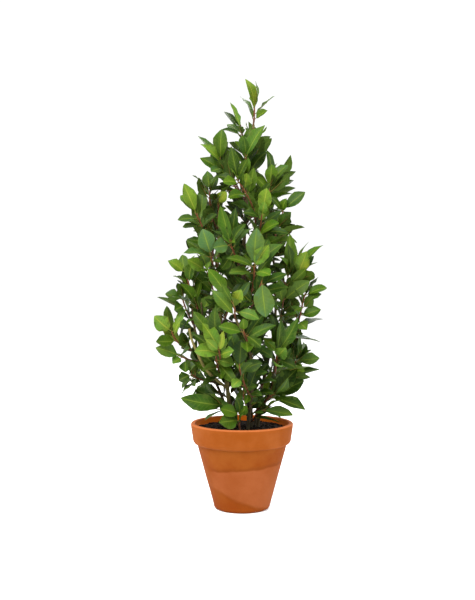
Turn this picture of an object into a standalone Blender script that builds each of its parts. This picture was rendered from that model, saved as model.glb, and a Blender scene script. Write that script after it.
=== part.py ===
"""Potted bay laurel (Laurus nobilis): a loose pyramid of leafy shoots in a terracotta pot.

Run it with  blender --background --python part.py  or from Blender's text editor.

Units are metres, +Z is up, and the front of the plant looks along -Y. The origin is under the
middle of the pot, on the surface that it stands on. The plant is drawn in centimetres in the
tables below, for soil at DRAWN_SOIL above that surface; drawn_point() fits the drawing to the
driving dimensions. Every stem and every leafy shoot is a closed body of its own, with a small gap
to its neighbours, and each leaf is moved a little until it is clear of everything else.
"""
import math
from itertools import product

import bpy
import numpy as np
from mathutils import Matrix, Vector
from mathutils.bvhtree import BVHTree

# ---------------------------------------------------------------- driving dimensions, in metres
POT_HEIGHT = 0.173          # foot to top of the rim
RIM_RADIUS = 0.1029         # outside of the rim, at its top
BAND_HEIGHT = 0.042         # the thick band around the top
BAND_ROUND = 0.011          # height of the band's rounded lower edge
BAND_TAPER = 0.0037         # how much narrower the band is at its lower edge
SHOULDER_RADIUS = 0.0907    # outside of the tapered body, just under the band
BASE_RADIUS = 0.0547        # outside of the tapered body, carried down to the foot
WALL = 0.0085               # thickness of the wall, measured level
FLOOR = 0.0100              # thickness of the bottom
DRAIN_RADIUS = 0.0100       # hole in the bottom
FOOT_ROUND = 0.0085         # rounding of the outer bottom edge
LIP_ROUND = 0.0030          # rounding of the rim's edges
SOIL_DROP = 0.0120          # soil surface below the top of the rim
SOIL_CROWN = 0.0020         # how much higher the soil stands in the middle
PLANT_RISE = 0.697          # soil surface to the top leaf's tip
PLANT_SPREAD = 0.346        # widest distance across the leaves
FRONT_REACH = 0.150         # how far forward of the pot's axis a leaf may reach
TRUNK_RADIUS = 0.0068       # at the soil
TWIG_RADIUS = 0.0019        # where a shoot leaves its stem
TWIG_TIP_RADIUS = 0.0012    # at the shoot's youngest end
PETIOLE = 0.0075            # leaf stalk, from the middle of the twig to the blade
KEEL = 0.0008               # midrib, below the blade
GAP = 0.0003                # clearance between two pieces that touch
LEAF_CLEARANCE = 0.0005     # least room that is left around a leaf
STALK_STEP = 0.0036         # least distance along a twig between two leaf stalks
END_ROOM = 0.0008           # bare end of a twig beyond its last stalk
TOP_ROOM = 0.0002           # extra room under a shoot that carries on from a stem's end

# ------------------------------------------------------------------------- the drawing's own scale
CM = 0.01
DRAWN_SOIL = 15.7           # cm, height of the soil surface in the drawing
DRAWN_TOP = 85.6            # cm, height of the highest leaf tip in the drawing
DRAWN_SPREAD = 34.6         # cm, width of the drawing
FRONT_DEPTH = 1.2           # the front half is drawn flatter than it is
EYE_DISTANCE = 2.10         # m, the front view is drawn as it looks from this far away
EYE_HEIGHT = 49.5           # cm, and from this height
SOIL_TOP = POT_HEIGHT - SOIL_DROP
RISE_SCALE = PLANT_RISE / ((DRAWN_TOP - DRAWN_SOIL) * CM)
SPREAD_SCALE = PLANT_SPREAD / (DRAWN_SPREAD * CM)

POT_SIDES = 40
SOIL_SIDES = 24
STEM_SIDES = 8
TWIG_SIDES = 5
GOLDEN_ANGLE = math.radians(137.5)
GOLDEN_SHARE = 0.618
UP = Vector((0.0, 0.0, 1.0))

# Woody stems: the points that the middle passes through, from below the soil upwards, in cm, and
# the radius at the bottom and at the top as a share of the trunk's.
STEMS = {
    "trunk": ([(1.4, 0.5, 14), (1.6, 0.3, 19), (1.5, 0.8, 26), (0.8, 1.0, 36), (0.3, 0.8, 48),
               (0.8, 0.5, 60), (1.8, 0.2, 70), (2.3, 0.0, 76.5)], 1.0, 0.34),
    "stem_left": ([(-1.4, -0.6, 14), (-2.5, -1.0, 20), (-2.9, -1.2, 23.5), (-3.3, -0.5, 28),
                   (-4.0, 0.2, 36), (-4.8, 0.5, 45), (-4.6, 0.3, 57)], 0.72, 0.3),
    "stem_far_left": ([(-1.8, 1.2, 14), (-4.0, 1.4, 22), (-7.5, 0.8, 30), (-9.5, 0.4, 36),
                       (-10.0, 0.2, 40)], 0.52, 0.28),
    "stem_right": ([(2.9, 0.9, 14), (3.8, 1.0, 19.5), (5.6, 0.0, 22.5), (6.6, -1.0, 27),
                    (7.2, -1.5, 32), (7.7, -1.6, 36.4)], 0.6, 0.3),
    "stem_front": ([(1.0, -2.0, 14), (1.9, -4.2, 22), (2.1, -5.6, 27), (1.0, -7.0, 33),
                    (-1.2, -8.3, 37.6)], 0.5, 0.28),
    "stem_back_left": ([(-0.5, 2.4, 14), (-3.0, 4.5, 24), (-6.0, 7.0, 36), (-6.5, 7.0, 46),
                        (-5.0, 5.0, 56)], 0.6, 0.3),
    "stem_back_right": ([(2.2, 2.8, 14), (4.0, 5.0, 24), (6.5, 7.5, 36), (6.5, 7.0, 48),
                         (4.5, 5.0, 58)], 0.6, 0.3),
}

# Branches that were cut back, without leaves: their points in cm and their two radii.
PRUNED = {
    "pruned_branch": ([(-3.25, -2.0, 24.0), (-5.0, -3.4, 25.4), (-7.5, -4.9, 28.0),
                       (-9.2, -5.6, 31.5), (-10.2, -5.9, 34.0), (-10.6, -6.0, 35.8)], 0.44, 0.33),
    "pruned_stub": ([(-7.85, -3.1, 38.0), (-8.0, -3.5, 39.4), (-8.2, -3.7, 41.0)], 0.24, 0.22),
}

# Leafy shoots on the front and the sides. Each has its name, the stem that it grows on, where it
# leaves the stem, the point that bends it (None: straight), its end, and its leaves. A leaf is
# (x and z of its base, x and z of its tip, how far the tip comes forward, its width, its turn):
# centimetres, and degrees from facing forward (0) to edge-on (90).
SHOOTS = [
    ("shoot_top", "trunk", "top", None, (2.45, -0.1, 79.9), [
        (2.3, 79.8, 0.6, 85.6, 0.8, 2.0, 35), (2.4, 80.0, 3.0, 84.4, -1.0, 1.8, 55),
        (2.6, 79.9, 3.5, 84.7, -0.5, 1.8, 80), (2.5, 78.2, 6.5, 82.2, -0.8, 1.7, 78),
        (2.4, 77.4, 5.1, 79.3, 1.5, 2.0, 45), (2.2, 77.4, -0.5, 82.1, -2.0, 1.8, 62)]),
    ("shoot_top_left", "trunk", (2.0, 0.1, 72), (0.3, -0.3, 73.5), (-0.3, -0.4, 75.8), [
        (-0.4, 75.7, -2.5, 81.1, 0.3, 1.6, 50), (-0.2, 76.0, 0.5, 80.6, -1.0, 2.2, 30),
        (-0.8, 74.5, -3.7, 79.3, 0.2, 2.0, 50)]),
    ("shoot_upper_mid", "trunk", (1.6, 0.3, 66), None, (0.7, -2.2, 69.9), [
        (1.0, 70.0, 4.6, 76.5, 1.0, 2.6, 35), (0.4, 70.2, 0.0, 74.6, 1.5, 2.3, 15),
        (0.2, 69.9, -1.5, 73.4, 0.5, 2.0, 55), (1.2, 70.3, 1.1, 76.4, -1.5, 2.4, 30),
        (1.9, 68.2, 3.4, 71.9, -0.5, 1.9, 50), (1.9, 66.5, 4.9, 71.1, -0.5, 2.7, 20)]),
    ("shoot_upper_left", "trunk", (0.9, 0.5, 62), (-2.5, -0.5, 65), (-4.3, -1.2, 69.3), [
        (-4.3, 69.5, -4.0, 75.7, 0.8, 2.8, 15), (-4.6, 69.6, -8.9, 74.4, -0.8, 2.2, 50),
        (-4.6, 68.6, -8.3, 72.5, 1.0, 2.2, 50), (-3.4, 68.8, -2.7, 73.2, -0.5, 1.9, 45),
        (-3.6, 68.0, -6.2, 67.2, 2.2, 2.2, 35)]),
    ("shoot_upper_right", "trunk", (1.2, 0.4, 58), (5.6, -0.8, 60.5), (5.4, -1.6, 64.4), [
        (5.5, 64.7, 5.9, 68.7, 1.6, 2.6, 15), (5.8, 64.9, 9.2, 68.5, -0.8, 2.2, 40),
        (5.7, 64.9, 7.2, 69.1, -1.8, 2.0, 50), (5.1, 63.4, 2.7, 66.1, 1.2, 2.0, 40),
        (6.3, 62.0, 8.2, 67.3, -0.5, 2.4, 30)]),
    ("shoot_arch", "trunk", (0.7, -0.1, 52.5), (5.2, -4.0, 57.5), (-0.8, -4.2, 65.3), [
        (-0.7, 65.3, -2.4, 68.3, 0.6, 1.6, 50), (-0.9, 65.2, -3.9, 65.2, 1.8, 2.0, 40),
        (0.4, 63.4, 0.9, 67.0, 1.6, 2.4, 12), (-0.6, 65.9, 0.9, 69.4, -0.6, 1.9, 50),
        (-0.5, 65.6, 1.3, 70.0, -1.4, 2.0, 35), (0.3, 62.6, -2.5, 61.7, 1.5, 1.6, 50),
        (2.2, 60.2, 0.7, 63.2, -0.6, 1.8, 35), (2.7, 59.0, -2.3, 61.0, 1.6, 2.2, 50)]),
    ("shoot_mid_right_top", "trunk", (0.9, 0.4, 49), (3.6, -3.5, 53), (3.9, -5.8, 58.9), [
        (4.0, 59.2, 4.9, 64.0, 1.2, 2.7, 10), (3.9, 59.0, 4.5, 61.4, 2.4, 1.8, 10),
        (3.8, 58.2, 6.4, 60.5, -0.6, 1.9, 55), (3.7, 55.2, 6.1, 56.4, 0.8, 1.6, 70)]),
    ("shoot_right_upper", "trunk", (0.9, 0.4, 47), (6.0, -0.5, 50), (8.2, -1.2, 59.6), [
        (8.4, 59.7, 12.6, 63.2, 0.5, 2.5, 30), (8.0, 58.8, 8.9, 61.9, 1.0, 2.0, 40),
        (7.4, 55.3, 9.8, 59.2, 1.2, 2.4, 25), (7.1, 54.2, 5.9, 58.0, 1.5, 1.8, 40)]),
    ("shoot_left_upper", "stem_left", (-4.6, 0.4, 48), (-6.0, -2.0, 53), (-9.2, -2.8, 58.9), [
        (-9.2, 58.9, -11.6, 64.9, 0.8, 2.7, 20), (-9.3, 58.6, -12.4, 62.6, -0.8, 2.4, 35),
        (-8.7, 57.6, -12.9, 57.6, 1.4, 2.0, 50), (-8.1, 56.2, -11.9, 56.2, 0.2, 1.8, 62),
        (-8.9, 58.2, -9.9, 63.9, -1.2, 2.0, 40), (-8.3, 57.2, -7.8, 64.3, -1.6, 2.4, 20)]),
    ("shoot_left_top", "stem_left", (-4.7, 0.2, 56), (-6.6, -0.6, 58.5), (-6.4, -1.0, 63.4), [
        (-6.3, 63.5, -6.9, 67.4, 0.9, 2.4, 15), (-6.8, 63.9, -10.0, 66.5, -0.4, 1.8, 80),
        (-6.0, 62.9, -4.9, 66.7, -0.3, 2.0, 40), (-6.3, 61.0, -9.1, 60.5, 1.6, 1.8, 75),
        (-6.2, 58.4, -7.8, 60.1, 1.0, 1.9, 35)]),
    ("shoot_inner_left", "stem_left", "top", None, (-4.8, -1.4, 60.7), [
        (-4.8, 60.7, -3.1, 63.3, 1.6, 2.2, 15), (-4.6, 58.6, -3.1, 59.9, 0.8, 1.4, 60)]),
    ("shoot_left_grey", "stem_left", (-4.8, 0.4, 43), (-5.2, -4.0, 46), (-6.2, -6.5, 50.4), [
        (-6.2, 50.9, -7.9, 55.9, 0.8, 3.3, 5), (-6.4, 50.8, -11.8, 51.0, 1.6, 2.0, 60),
        (-6.3, 50.0, -7.0, 47.6, 2.0, 1.3, 50)]),
    ("shoot_centre_left", "trunk", (0.3, 0.8, 46), (-0.5, -4.0, 48), (-2.2, -6.5, 52.6), [
        (-2.3, 52.6, -5.8, 52.1, 1.2, 2.9, 15), (-2.2, 52.9, -3.5, 56.4, 1.4, 2.2, 15),
        (-1.9, 52.7, 2.2, 56.0, -0.4, 2.0, 50), (-2.6, 53.4, -6.4, 55.8, -0.8, 1.8, 70),
        (-2.1, 51.4, -4.2, 47.8, -0.8, 2.4, 20), (-1.5, 49.8, -2.6, 46.6, -1.2, 2.2, 20)]),
    ("shoot_centre", "trunk", (0.3, 0.8, 41), (2.6, -5.0, 43), (2.4, -8.2, 48.5), [
        (2.3, 48.9, 2.9, 56.1, 0.8, 3.3, 5), (2.7, 48.7, 5.3, 52.7, 2.0, 2.7, 10),
        (2.9, 48.5, 8.1, 52.8, -0.8, 2.6, 25), (2.5, 48.4, 5.6, 46.6, 3.0, 2.4, 45),
        (2.0, 48.4, -2.7, 47.0, 2.2, 2.0, 55), (2.1, 48.9, -1.2, 51.4, -1.5, 1.6, 70)]),
    ("shoot_centre_low", "stem_front", "top", None, (-1.7, -9.4, 40.5), [
        (-1.7, 40.6, -0.2, 43.8, 1.6, 2.2, 15), (-1.3, 39.4, 3.4, 37.8, 1.0, 2.0, 25)]),
    ("shoot_centre_inner", "trunk", (0.4, 0.8, 38.5), (2.5, -5.0, 40.5), (3.9, -9.2, 45.6), [
        (4.1, 45.4, 4.7, 38.2, 1.6, 3.9, 0), (1.4, 41.3, -1.2, 47.0, 1.0, 2.2, 40)]),
    ("shoot_left_mid", "stem_left", (-4.2, 0.3, 37), (-2.6, -4.5, 38.5), (-2.7, -7.6, 41.9), [
        (-2.8, 42.1, -6.9, 47.9, 0.6, 2.6, 30), (-3.3, 41.0, -5.6, 39.3, 1.2, 1.6, 30)]),
    ("shoot_left_edge_mid", "stem_left", (-3.9, -0.1, 32), (-8.4, -3.5, 36.5),
     (-11.3, -3.8, 47.0), [
        (-11.3, 47.1, -14.9, 49.5, 0.6, 2.3, 30), (-11.3, 47.3, -12.0, 50.7, -0.8, 2.4, 15),
        (-11.0, 47.0, -10.7, 50.8, -1.6, 1.8, 70), (-10.3, 44.6, -13.9, 46.4, -0.2, 1.6, 75),
        (-10.5, 44.9, -9.7, 49.4, 0.8, 2.2, 25), (-8.8, 40.0, -12.4, 44.9, 1.2, 2.2, 35),
        (-8.4, 41.2, -8.2, 45.4, 0.6, 1.9, 40), (-8.2, 38.6, -5.6, 42.7, 1.4, 2.3, 25),
        (-9.6, 42.8, -13.1, 45.7, -1.0, 1.5, 78)]),
    ("shoot_left_mid_up", "stem_left", (-4.7, 0.3, 40.5), (-5.6, -2.5, 43), (-7.0, -4.8, 47.2), [
        (-7.1, 47.3, -11.0, 49.8, 1.0, 2.5, 30), (-7.0, 47.4, -8.3, 50.8, -0.6, 2.2, 40)]),
    ("shoot_left_low_a", "stem_far_left", (-9.6, 0.1, 37), (-11.0, -1.0, 39),
     (-11.9, -1.6, 42.0), [
        (-11.9, 41.9, -15.4, 42.8, 0.6, 2.4, 35), (-11.9, 42.2, -12.9, 45.0, -1.2, 1.9, 40),
        (-11.0, 40.6, -13.6, 39.5, 1.2, 2.3, 25)]),
    ("shoot_left_bright", "stem_far_left", (-8.6, 0.2, 31), (-12.6, -0.8, 31.2),
     (-14.1, -1.4, 35.2), [
        (-14.2, 35.3, -17.6, 38.4, 0.8, 3.2, 10), (-14.1, 35.5, -11.0, 40.0, 0.4, 1.9, 45),
        (-13.9, 35.2, -12.2, 37.5, 1.6, 1.7, 40), (-13.0, 33.2, -17.3, 33.2, 1.8, 2.5, 40)]),
    ("shoot_left_low_b", "stem_far_left", (-7.0, 0.3, 28), (-10.0, -0.6, 29.6),
     (-12.3, -1.4, 30.2), [
        (-12.6, 30.1, -17.4, 32.0, 0.9, 2.6, 25), (-12.2, 30.2, -13.9, 28.7, 1.5, 1.9, 30),
        (-11.2, 30.0, -11.3, 27.0, 1.0, 2.2, 20)]),
    ("shoot_left_bottom", "stem_far_left", (-5.4, 0.4, 25), (-8.0, -0.8, 25),
     (-10.0, -1.5, 26.6), [
        (-10.0, 26.8, -12.7, 25.3, 1.0, 2.3, 25), (-9.4, 26.1, -12.1, 23.8, -0.6, 1.6, 60),
        (-8.6, 26.4, -9.5, 24.7, 1.6, 2.0, 30)]),
    ("shoot_yellow", "stem_left", (-3.3, -0.6, 27), (-4.2, -5.0, 27.5), (-4.6, -8.4, 31.6), [
        (-4.9, 32.0, -8.0, 37.0, 0.6, 2.9, 8), (-4.8, 32.0, -6.9, 34.3, 2.2, 1.7, 15),
        (-4.5, 32.1, -3.7, 35.4, 1.8, 1.5, 20), (-4.8, 31.2, -9.6, 31.3, 2.2, 2.8, 35),
        (-4.4, 31.0, -1.6, 31.5, 2.6, 2.2, 40)]),
    ("shoot_front_low", "stem_left", (-3.1, -0.9, 25.5), (-4.5, -4.0, 26), (-5.2, -6.5, 29.6), [
        (-5.4, 29.9, -1.5, 28.5, 2.0, 2.2, 35), (-5.0, 29.2, -1.4, 25.0, 2.2, 2.2, 30)]),
    ("shoot_dark_centre", "stem_front", (1.9, -4.2, 22.5), (0.5, -6.5, 24), (-0.6, -8.0, 28), [
        (-0.6, 28.2, -0.1, 33.7, -0.6, 3.0, 5), (-0.9, 27.4, 4.0, 29.0, 1.4, 2.5, 35),
        (0.5, 26.0, -2.1, 24.0, 2.0, 1.9, 40), (-0.9, 28.5, -2.6, 36.0, -0.8, 2.4, 25)]),
    ("shoot_centre_low_right", "stem_front", (0.9, -7.0, 33.2), None, (0.3, -9.6, 35.3), [
        (0.6, 35.1, 3.8, 32.1, 1.2, 2.2, 30), (0.2, 35.6, 0.1, 38.0, 1.4, 1.9, 20),
        (-0.3, 35.9, -4.8, 36.4, 1.0, 2.1, 25)]),
    ("shoot_right_mid_low", "stem_right", (6.5, -1.2, 26), (6.6, -4.0, 27), (7.0, -6.2, 30.8), [
        (7.0, 31.0, 4.1, 34.1, 0.6, 2.0, 35), (6.7, 29.6, 2.4, 32.1, 0.8, 2.2, 45),
        (7.2, 31.2, 9.4, 35.9, -0.6, 2.6, 15), (7.3, 30.2, 8.8, 32.1, 3.0, 2.9, 0),
        (7.1, 29.6, 10.7, 28.0, 1.6, 2.0, 40)]),
    ("shoot_right_edge_low", "stem_right", (6.3, -0.7, 24.5), (9.2, -0.5, 25.5),
     (10.8, -1.0, 29.4), [
        (10.9, 29.4, 15.6, 29.9, 0.6, 2.4, 30), (10.9, 29.1, 12.6, 27.2, 1.8, 2.4, 20),
        (10.7, 29.8, 13.0, 32.6, -0.8, 2.4, 25), (10.7, 29.9, 13.8, 31.8, 0.3, 1.6, 82),
        (10.5, 29.6, 10.3, 34.6, -1.6, 2.0, 70)]),
    ("shoot_right_edge_mid", "stem_right", (7.6, -1.6, 33.5), (11.2, -1.6, 34.0),
     (12.5, -1.8, 42.9), [
        (11.6, 38.2, 15.8, 39.7, 0.6, 2.3, 35), (11.2, 37.5, 13.0, 35.6, 1.6, 2.3, 15),
        (12.4, 41.4, 15.9, 42.8, 0.2, 2.0, 45), (12.5, 42.4, 17.0, 44.0, -0.3, 2.0, 48),
        (12.3, 41.8, 15.5, 46.3, -1.0, 1.8, 72), (11.9, 40.0, 9.8, 42.1, -0.8, 1.5, 78)]),
    ("shoot_right_mid", "stem_right", "top", (7.8, -1.6, 41), (9.2, -2.0, 46), [
        (9.2, 46.1, 9.5, 54.9, -1.0, 2.6, 20), (9.1, 46.0, 8.4, 51.4, 0.8, 2.0, 30),
        (8.0, 38.0, 12.1, 40.0, 0.9, 1.8, 40), (8.2, 41.4, 13.6, 45.4, 0.6, 2.9, 15),
        (8.1, 40.6, 7.3, 45.8, 1.4, 2.4, 25), (7.9, 37.2, 10.6, 37.1, 1.2, 1.4, 60)]),
    ("shoot_right_bright", "stem_back_right", (6.6, 6.5, 42), (9.5, 2.0, 42.5),
     (11.0, -1.0, 46.6), [
        (10.9, 46.8, 12.9, 51.4, 0.9, 3.0, 12), (11.1, 46.5, 14.4, 50.4, -0.4, 2.4, 40),
        (11.2, 46.8, 13.5, 53.4, -1.6, 1.8, 75), (11.1, 46.9, 15.5, 53.0, -2.2, 2.2, 50),
        (11.3, 46.3, 15.2, 49.1, -0.8, 1.8, 80)]),
    ("shoot_bottom_left", "stem_left", (-2.5, -1.5, 19.4), None, (-3.8, -2.8, 20.3), [
        (-3.9, 20.3, -12.4, 21.9, 1.6, 3.3, 12), (-3.9, 20.1, -9.2, 19.3, -0.4, 2.4, 45)]),
    ("shoot_bottom_front", "soil", (-0.4, -3.5, 15.7), None, (-0.4, -3.9, 18.4), [
        (-0.6, 18.3, -4.7, 16.9, 2.0, 3.2, 20), (-0.6, 18.4, -4.3, 19.7, 1.4, 2.4, 35),
        (-0.3, 18.5, 1.0, 20.2, 1.2, 1.9, 35), (-0.5, 18.6, -0.2, 23.4, -0.6, 1.9, 40)]),
    ("shoot_bottom_centre", "trunk", (1.5, -0.6, 19), (0.6, -2.5, 20), (0.2, -4.0, 22.6), [
        (0.2, 22.0, 3.3, 21.4, 1.4, 2.4, 20), (0.1, 22.9, 1.9, 24.7, 1.2, 1.8, 20),
        (0.5, 22.9, 2.4, 26.7, -0.2, 2.3, 15)]),
    ("shoot_bottom_right", "trunk", (2.3, 0.0, 18.6), (4.0, -1.6, 20.6), (6.0, -2.8, 22.4), [
        (6.0, 22.5, 11.1, 27.8, 1.0, 3.4, 10), (6.2, 22.4, 12.5, 25.4, -0.6, 3.0, 25),
        (5.9, 21.9, 12.8, 19.4, 0.9, 2.4, 45), (4.6, 21.6, 6.4, 27.5, 0.2, 1.8, 50)]),
    ("shoot_rim_right", "trunk", (2.3, -0.7, 17.0), (3.0, -2.0, 19), (4.0, -2.6, 19.4), [
        (4.1, 19.3, 10.3, 18.3, 1.0, 2.2, 35), (4.0, 18.9, 7.9, 17.6, 0.4, 1.6, 70)]),
]

# The back is grown by rule: shoots spiral up a half cone whose radius is given here, in cm.
CONE_HEIGHTS = (16, 20, 26, 32, 38, 44, 50, 56, 62, 68, 74, 80, 85)
CONE_RADII = (6, 11, 13, 16, 16.5, 15, 14, 12.5, 11, 8.5, 6, 3.5, 1)
BACK_SHOOTS = 12
BACK_LOWEST = 25.0
BACK_HIGHEST = 73.0
BACK_REACH = 0.66           # how far out a back shoot ends, as a share of the cone
BACK_LEAVES = 12
BACK_STEMS = ("stem_back_left", "stem_back_right", "trunk")
BACK_START = math.radians(10.8)     # the first of the back shoots' directions, from +X
BACK_ARC = math.radians(158.4)      # the arc that they share out between them
BACK_ROOT_SHARE = 0.3       # how far out a back shoot leaves its stem, as a share of its reach
BACK_CLIMB = 7.0            # cm from there up to its end
BACK_BEND_SHARE = 0.6       # where it bends, as a share of the way
BACK_SAG = 0.012            # m that it hangs there below the straight line
FILL_SPACING = 0.030        # m of twig for each inner leaf that a drawn shoot gets by rule
FILL_MOST = 4

# A leaf that is grown by rule points along the twig, away from it, outward and up in these shares.
GROWN_FORWARD = 0.35
GROWN_STEEPER = 0.5         # more along the twig towards its end
GROWN_CLOSING = 0.55        # less away from it towards its end
GROWN_OUTWARD = 0.35
GROWN_LIFT = 0.3
GROWN_FACE_UP = 0.7
GROWN_LENGTH = 0.078        # m, at the foot of the twig
GROWN_SHORTER = 0.018       # m less at its end
GROWN_UNEVEN = 0.08         # leaf lengths differ by this share either way
GROWN_WIDTH = 0.36          # width as a share of the length
GROWN_TURN = 12.0           # degrees between the turns that leaves take
MOST_SPREAD = 0.9           # share of a twig that its leaf stalks may take up


def place(x, y, z):
    """A place on the plant, in cm from the drawing's origin, as a point in metres."""
    height = SOIL_TOP + (z - DRAWN_SOIL) * CM * RISE_SCALE
    return Vector((x * CM * SPREAD_SCALE, y * CM * SPREAD_SCALE, height))


def drawn_point(x, y, z):
    """A point of the drawing, in cm, placed on the real plant, in metres.

    What is in front of the middle looks larger than it is, by its distance from the eye, so it is
    moved in towards the line of sight by the same share.
    """
    depth = y * FRONT_DEPTH if y < 0.0 else y
    nearer = 1.0 + depth * CM / EYE_DISTANCE
    return place(x * nearer, depth, EYE_HEIGHT + (z - EYE_HEIGHT) * nearer)


def as_drawn(point):
    """Where a point of the plant shows in the drawing: across and up, in cm."""
    nearer = 1.0 + point.y / EYE_DISTANCE
    across = point.x / (CM * SPREAD_SCALE)
    height = DRAWN_SOIL + (point.z - SOIL_TOP) / (CM * RISE_SCALE)
    return across / nearer, EYE_HEIGHT + (height - EYE_HEIGHT) / nearer


# --------------------------------------------------------------------------------- small helpers
def clear_scene():
    """Remove whatever the file holds."""
    for item in list(bpy.data.objects):
        bpy.data.objects.remove(item, do_unlink=True)


def make_material(name, colour, roughness):
    """A Principled material with one colour."""
    material = bpy.data.materials.new(name)
    material.use_nodes = True
    shader = material.node_tree.nodes["Principled BSDF"]
    shader.inputs["Base Color"].default_value = (*colour, 1.0)
    shader.inputs["Roughness"].default_value = roughness
    shader.inputs["Metallic"].default_value = 0.0
    material.diffuse_color = (*colour, 1.0)
    return material


def add_object(name, vertices, faces, material):
    """Make a mesh object from points and faces."""
    mesh = bpy.data.meshes.new(name)
    mesh.from_pydata([tuple(v) for v in vertices], [], faces)
    mesh.update()
    made = bpy.data.objects.new(name, mesh)
    bpy.context.scene.collection.objects.link(made)
    made.data.materials.append(material)
    return made


def add_boolean(target, operand, operation):
    """Join or cut with a hidden helper object."""
    operand.hide_render = True
    operand.display_type = "WIRE"
    modifier = target.modifiers.new(operation.lower(), "BOOLEAN")
    modifier.operation = operation
    modifier.solver = "EXACT"
    modifier.use_self = operation == "UNION"
    modifier.object = operand


def smooth_round(made):
    """Shade a round piece smooth, with its edges kept sharp."""
    made.data.shade_smooth()
    made.data.set_sharp_from_angle(angle=math.radians(35))


def joined(shapes):
    """Put several (vertices, faces) shapes into one list of vertices and faces."""
    vertices = []
    faces = []
    for points, polygons in shapes:
        start = len(vertices)
        vertices.extend(points)
        faces.extend([tuple(start + i for i in polygon) for polygon in polygons])
    return vertices, faces


# ---------------------------------------------------------------------------- lathe, tube, leaf
def arc(centre, radius, start, end, steps):
    """Points of an arc in the (r, z) plane, from one angle to another in degrees."""
    angles = np.radians(np.linspace(start, end, steps + 1))
    return [(centre[0] + radius * math.cos(a), centre[1] + radius * math.sin(a)) for a in angles]


def revolve(profile, sides):
    """Turn a closed (r, z) outline, which runs anticlockwise, about the Z axis."""
    rings = len(profile)
    vertices = []
    for k in range(sides):
        angle = math.tau * k / sides
        vertices.extend([(r * math.cos(angle), r * math.sin(angle), z) for r, z in profile])
    faces = []
    for k, i in product(range(sides), range(rings)):
        a = k * rings
        b = (k + 1) % sides * rings
        j = (i + 1) % rings
        faces.append((a + i, b + i, b + j, a + j))
    return vertices, faces


def curve_through(points, per_span):
    """Catmull-Rom curve through the points, sampled per_span times between two of them."""
    ends = [points[0] * 2 - points[1]] + points + [points[-1] * 2 - points[-2]]
    sampled = []
    for i in range(len(points) - 1):
        a, b, c, d = ends[i:i + 4]
        for step in range(per_span):
            t = step / per_span
            sampled.append(0.5 * (b * 2 + (c - a) * t + (a * 2 - b * 5 + c * 4 - d) * t * t
                                  + (b * 3 - a - c * 3 + d) * t * t * t))
    return sampled + [points[-1].copy()]


def tube(path, radii, sides, pointed=False):
    """Loft a closed round tube along a path; a pointed one ends in a bud."""
    count = len(path)
    tangents = [(path[min(i + 1, count - 1)] - path[max(i - 1, 0)]).normalized()
                for i in range(count)]
    across = tangents[0].orthogonal().normalized()
    vertices = []
    for middle, tangent, radius in zip(path, tangents, radii):
        across = (across - tangent * across.dot(tangent)).normalized()
        other = tangent.cross(across)
        for k in range(sides):
            angle = math.tau * k / sides
            offset = across * math.cos(angle) + other * math.sin(angle)
            vertices.append(middle + offset * radius)
    faces = [tuple(reversed(range(sides)))]
    for i, k in product(range(count - 1), range(sides)):
        a = i * sides
        b = a + sides
        n = (k + 1) % sides
        faces.append((a + k, a + n, b + n, b + k))
    last = (count - 1) * sides
    if pointed:
        vertices.append(path[-1] + tangents[-1] * radii[-1] * 2.2)
        faces.extend([(last + k, last + (k + 1) % sides, len(vertices) - 1)
                      for k in range(sides)])
    else:
        faces.append(tuple(range(last, last + sides)))
    return vertices, faces


# Where the leaf's cross-sections sit along the blade, and their half width as a share of the
# widest one. The widest is a little below the middle, as on a real bay leaf.
LEAF_STATIONS = ((0.0, None), (0.38, 1.0), (0.72, 0.68))
STALK_HALF_WIDTH = 0.0011
ROOT_HALF_WIDTH = 0.0005
LEAF_CUP = 0.22             # rise of the blade's edges, as a share of the half width
LEAF_ARCH = 0.06            # rise of the middle of the leaf, as a share of its length


def leaf_axes(base, tip, front, turn):
    """Directions along, across and out of a leaf that shows its face to `front`, then turned."""
    along = (tip - base).normalized()
    face = (front - along * front.dot(along)).normalized()
    side = along.cross(face)
    outward = Vector((base.x, base.y, 0.0)) * 2.0 + Vector((0.0, 0.0, 1.0))
    if side.dot(outward) < 0.0:
        side = -side
    turned = math.radians(turn)
    normal = face * math.cos(turned) + side * math.sin(turned)
    return along, along.cross(normal), normal


def leaf_shape(base, tip, width, axes, grow=0.0, blade_only=False):
    """A leaf as a closed lofted body: stalk, two cross-sections and a point.

    Every cross-section is a triangle: the two edges of the blade, and the keel of the midrib
    below them. The middle line rises between the two ends as 4 * s * (1 - s). grow makes the
    body larger all round, to test for room.
    """
    along, across, normal = axes
    length = (tip - base).length
    stalk = min(PETIOLE, length * 0.2)

    def section(distance, half, cup, keel):
        share = distance / length
        middle = base + along * distance + normal * LEAF_ARCH * length * 4 * share * (1 - share)
        edge = across * (half + grow)
        lift = normal * (cup + grow)
        return [middle - normal * (keel + grow), middle - edge + lift, middle + edge + lift]

    sections = []
    if not blade_only:
        sections.append(section(-ROOT_HALF_WIDTH, ROOT_HALF_WIDTH, ROOT_HALF_WIDTH,
                                ROOT_HALF_WIDTH))
    for place, share in LEAF_STATIONS:
        distance = stalk + (length - stalk) * place
        half = STALK_HALF_WIDTH if share is None else width * 0.5 * share
        sections.append(section(distance, half, LEAF_CUP * half, KEEL))
    vertices = [point for ring in sections for point in ring]
    vertices.append(tip + along * grow)
    faces = [(2, 1, 0)]
    for i, k in product(range(len(sections) - 1), range(3)):
        a = 3 * i
        b = a + 3
        n = (k + 1) % 3
        faces.extend([(a + k, a + n, b + n), (a + k, b + n, b + k)])
    last = 3 * (len(sections) - 1)
    faces.extend([(last + k, last + (k + 1) % 3, len(vertices) - 1) for k in range(3)])
    return vertices, faces


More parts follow.
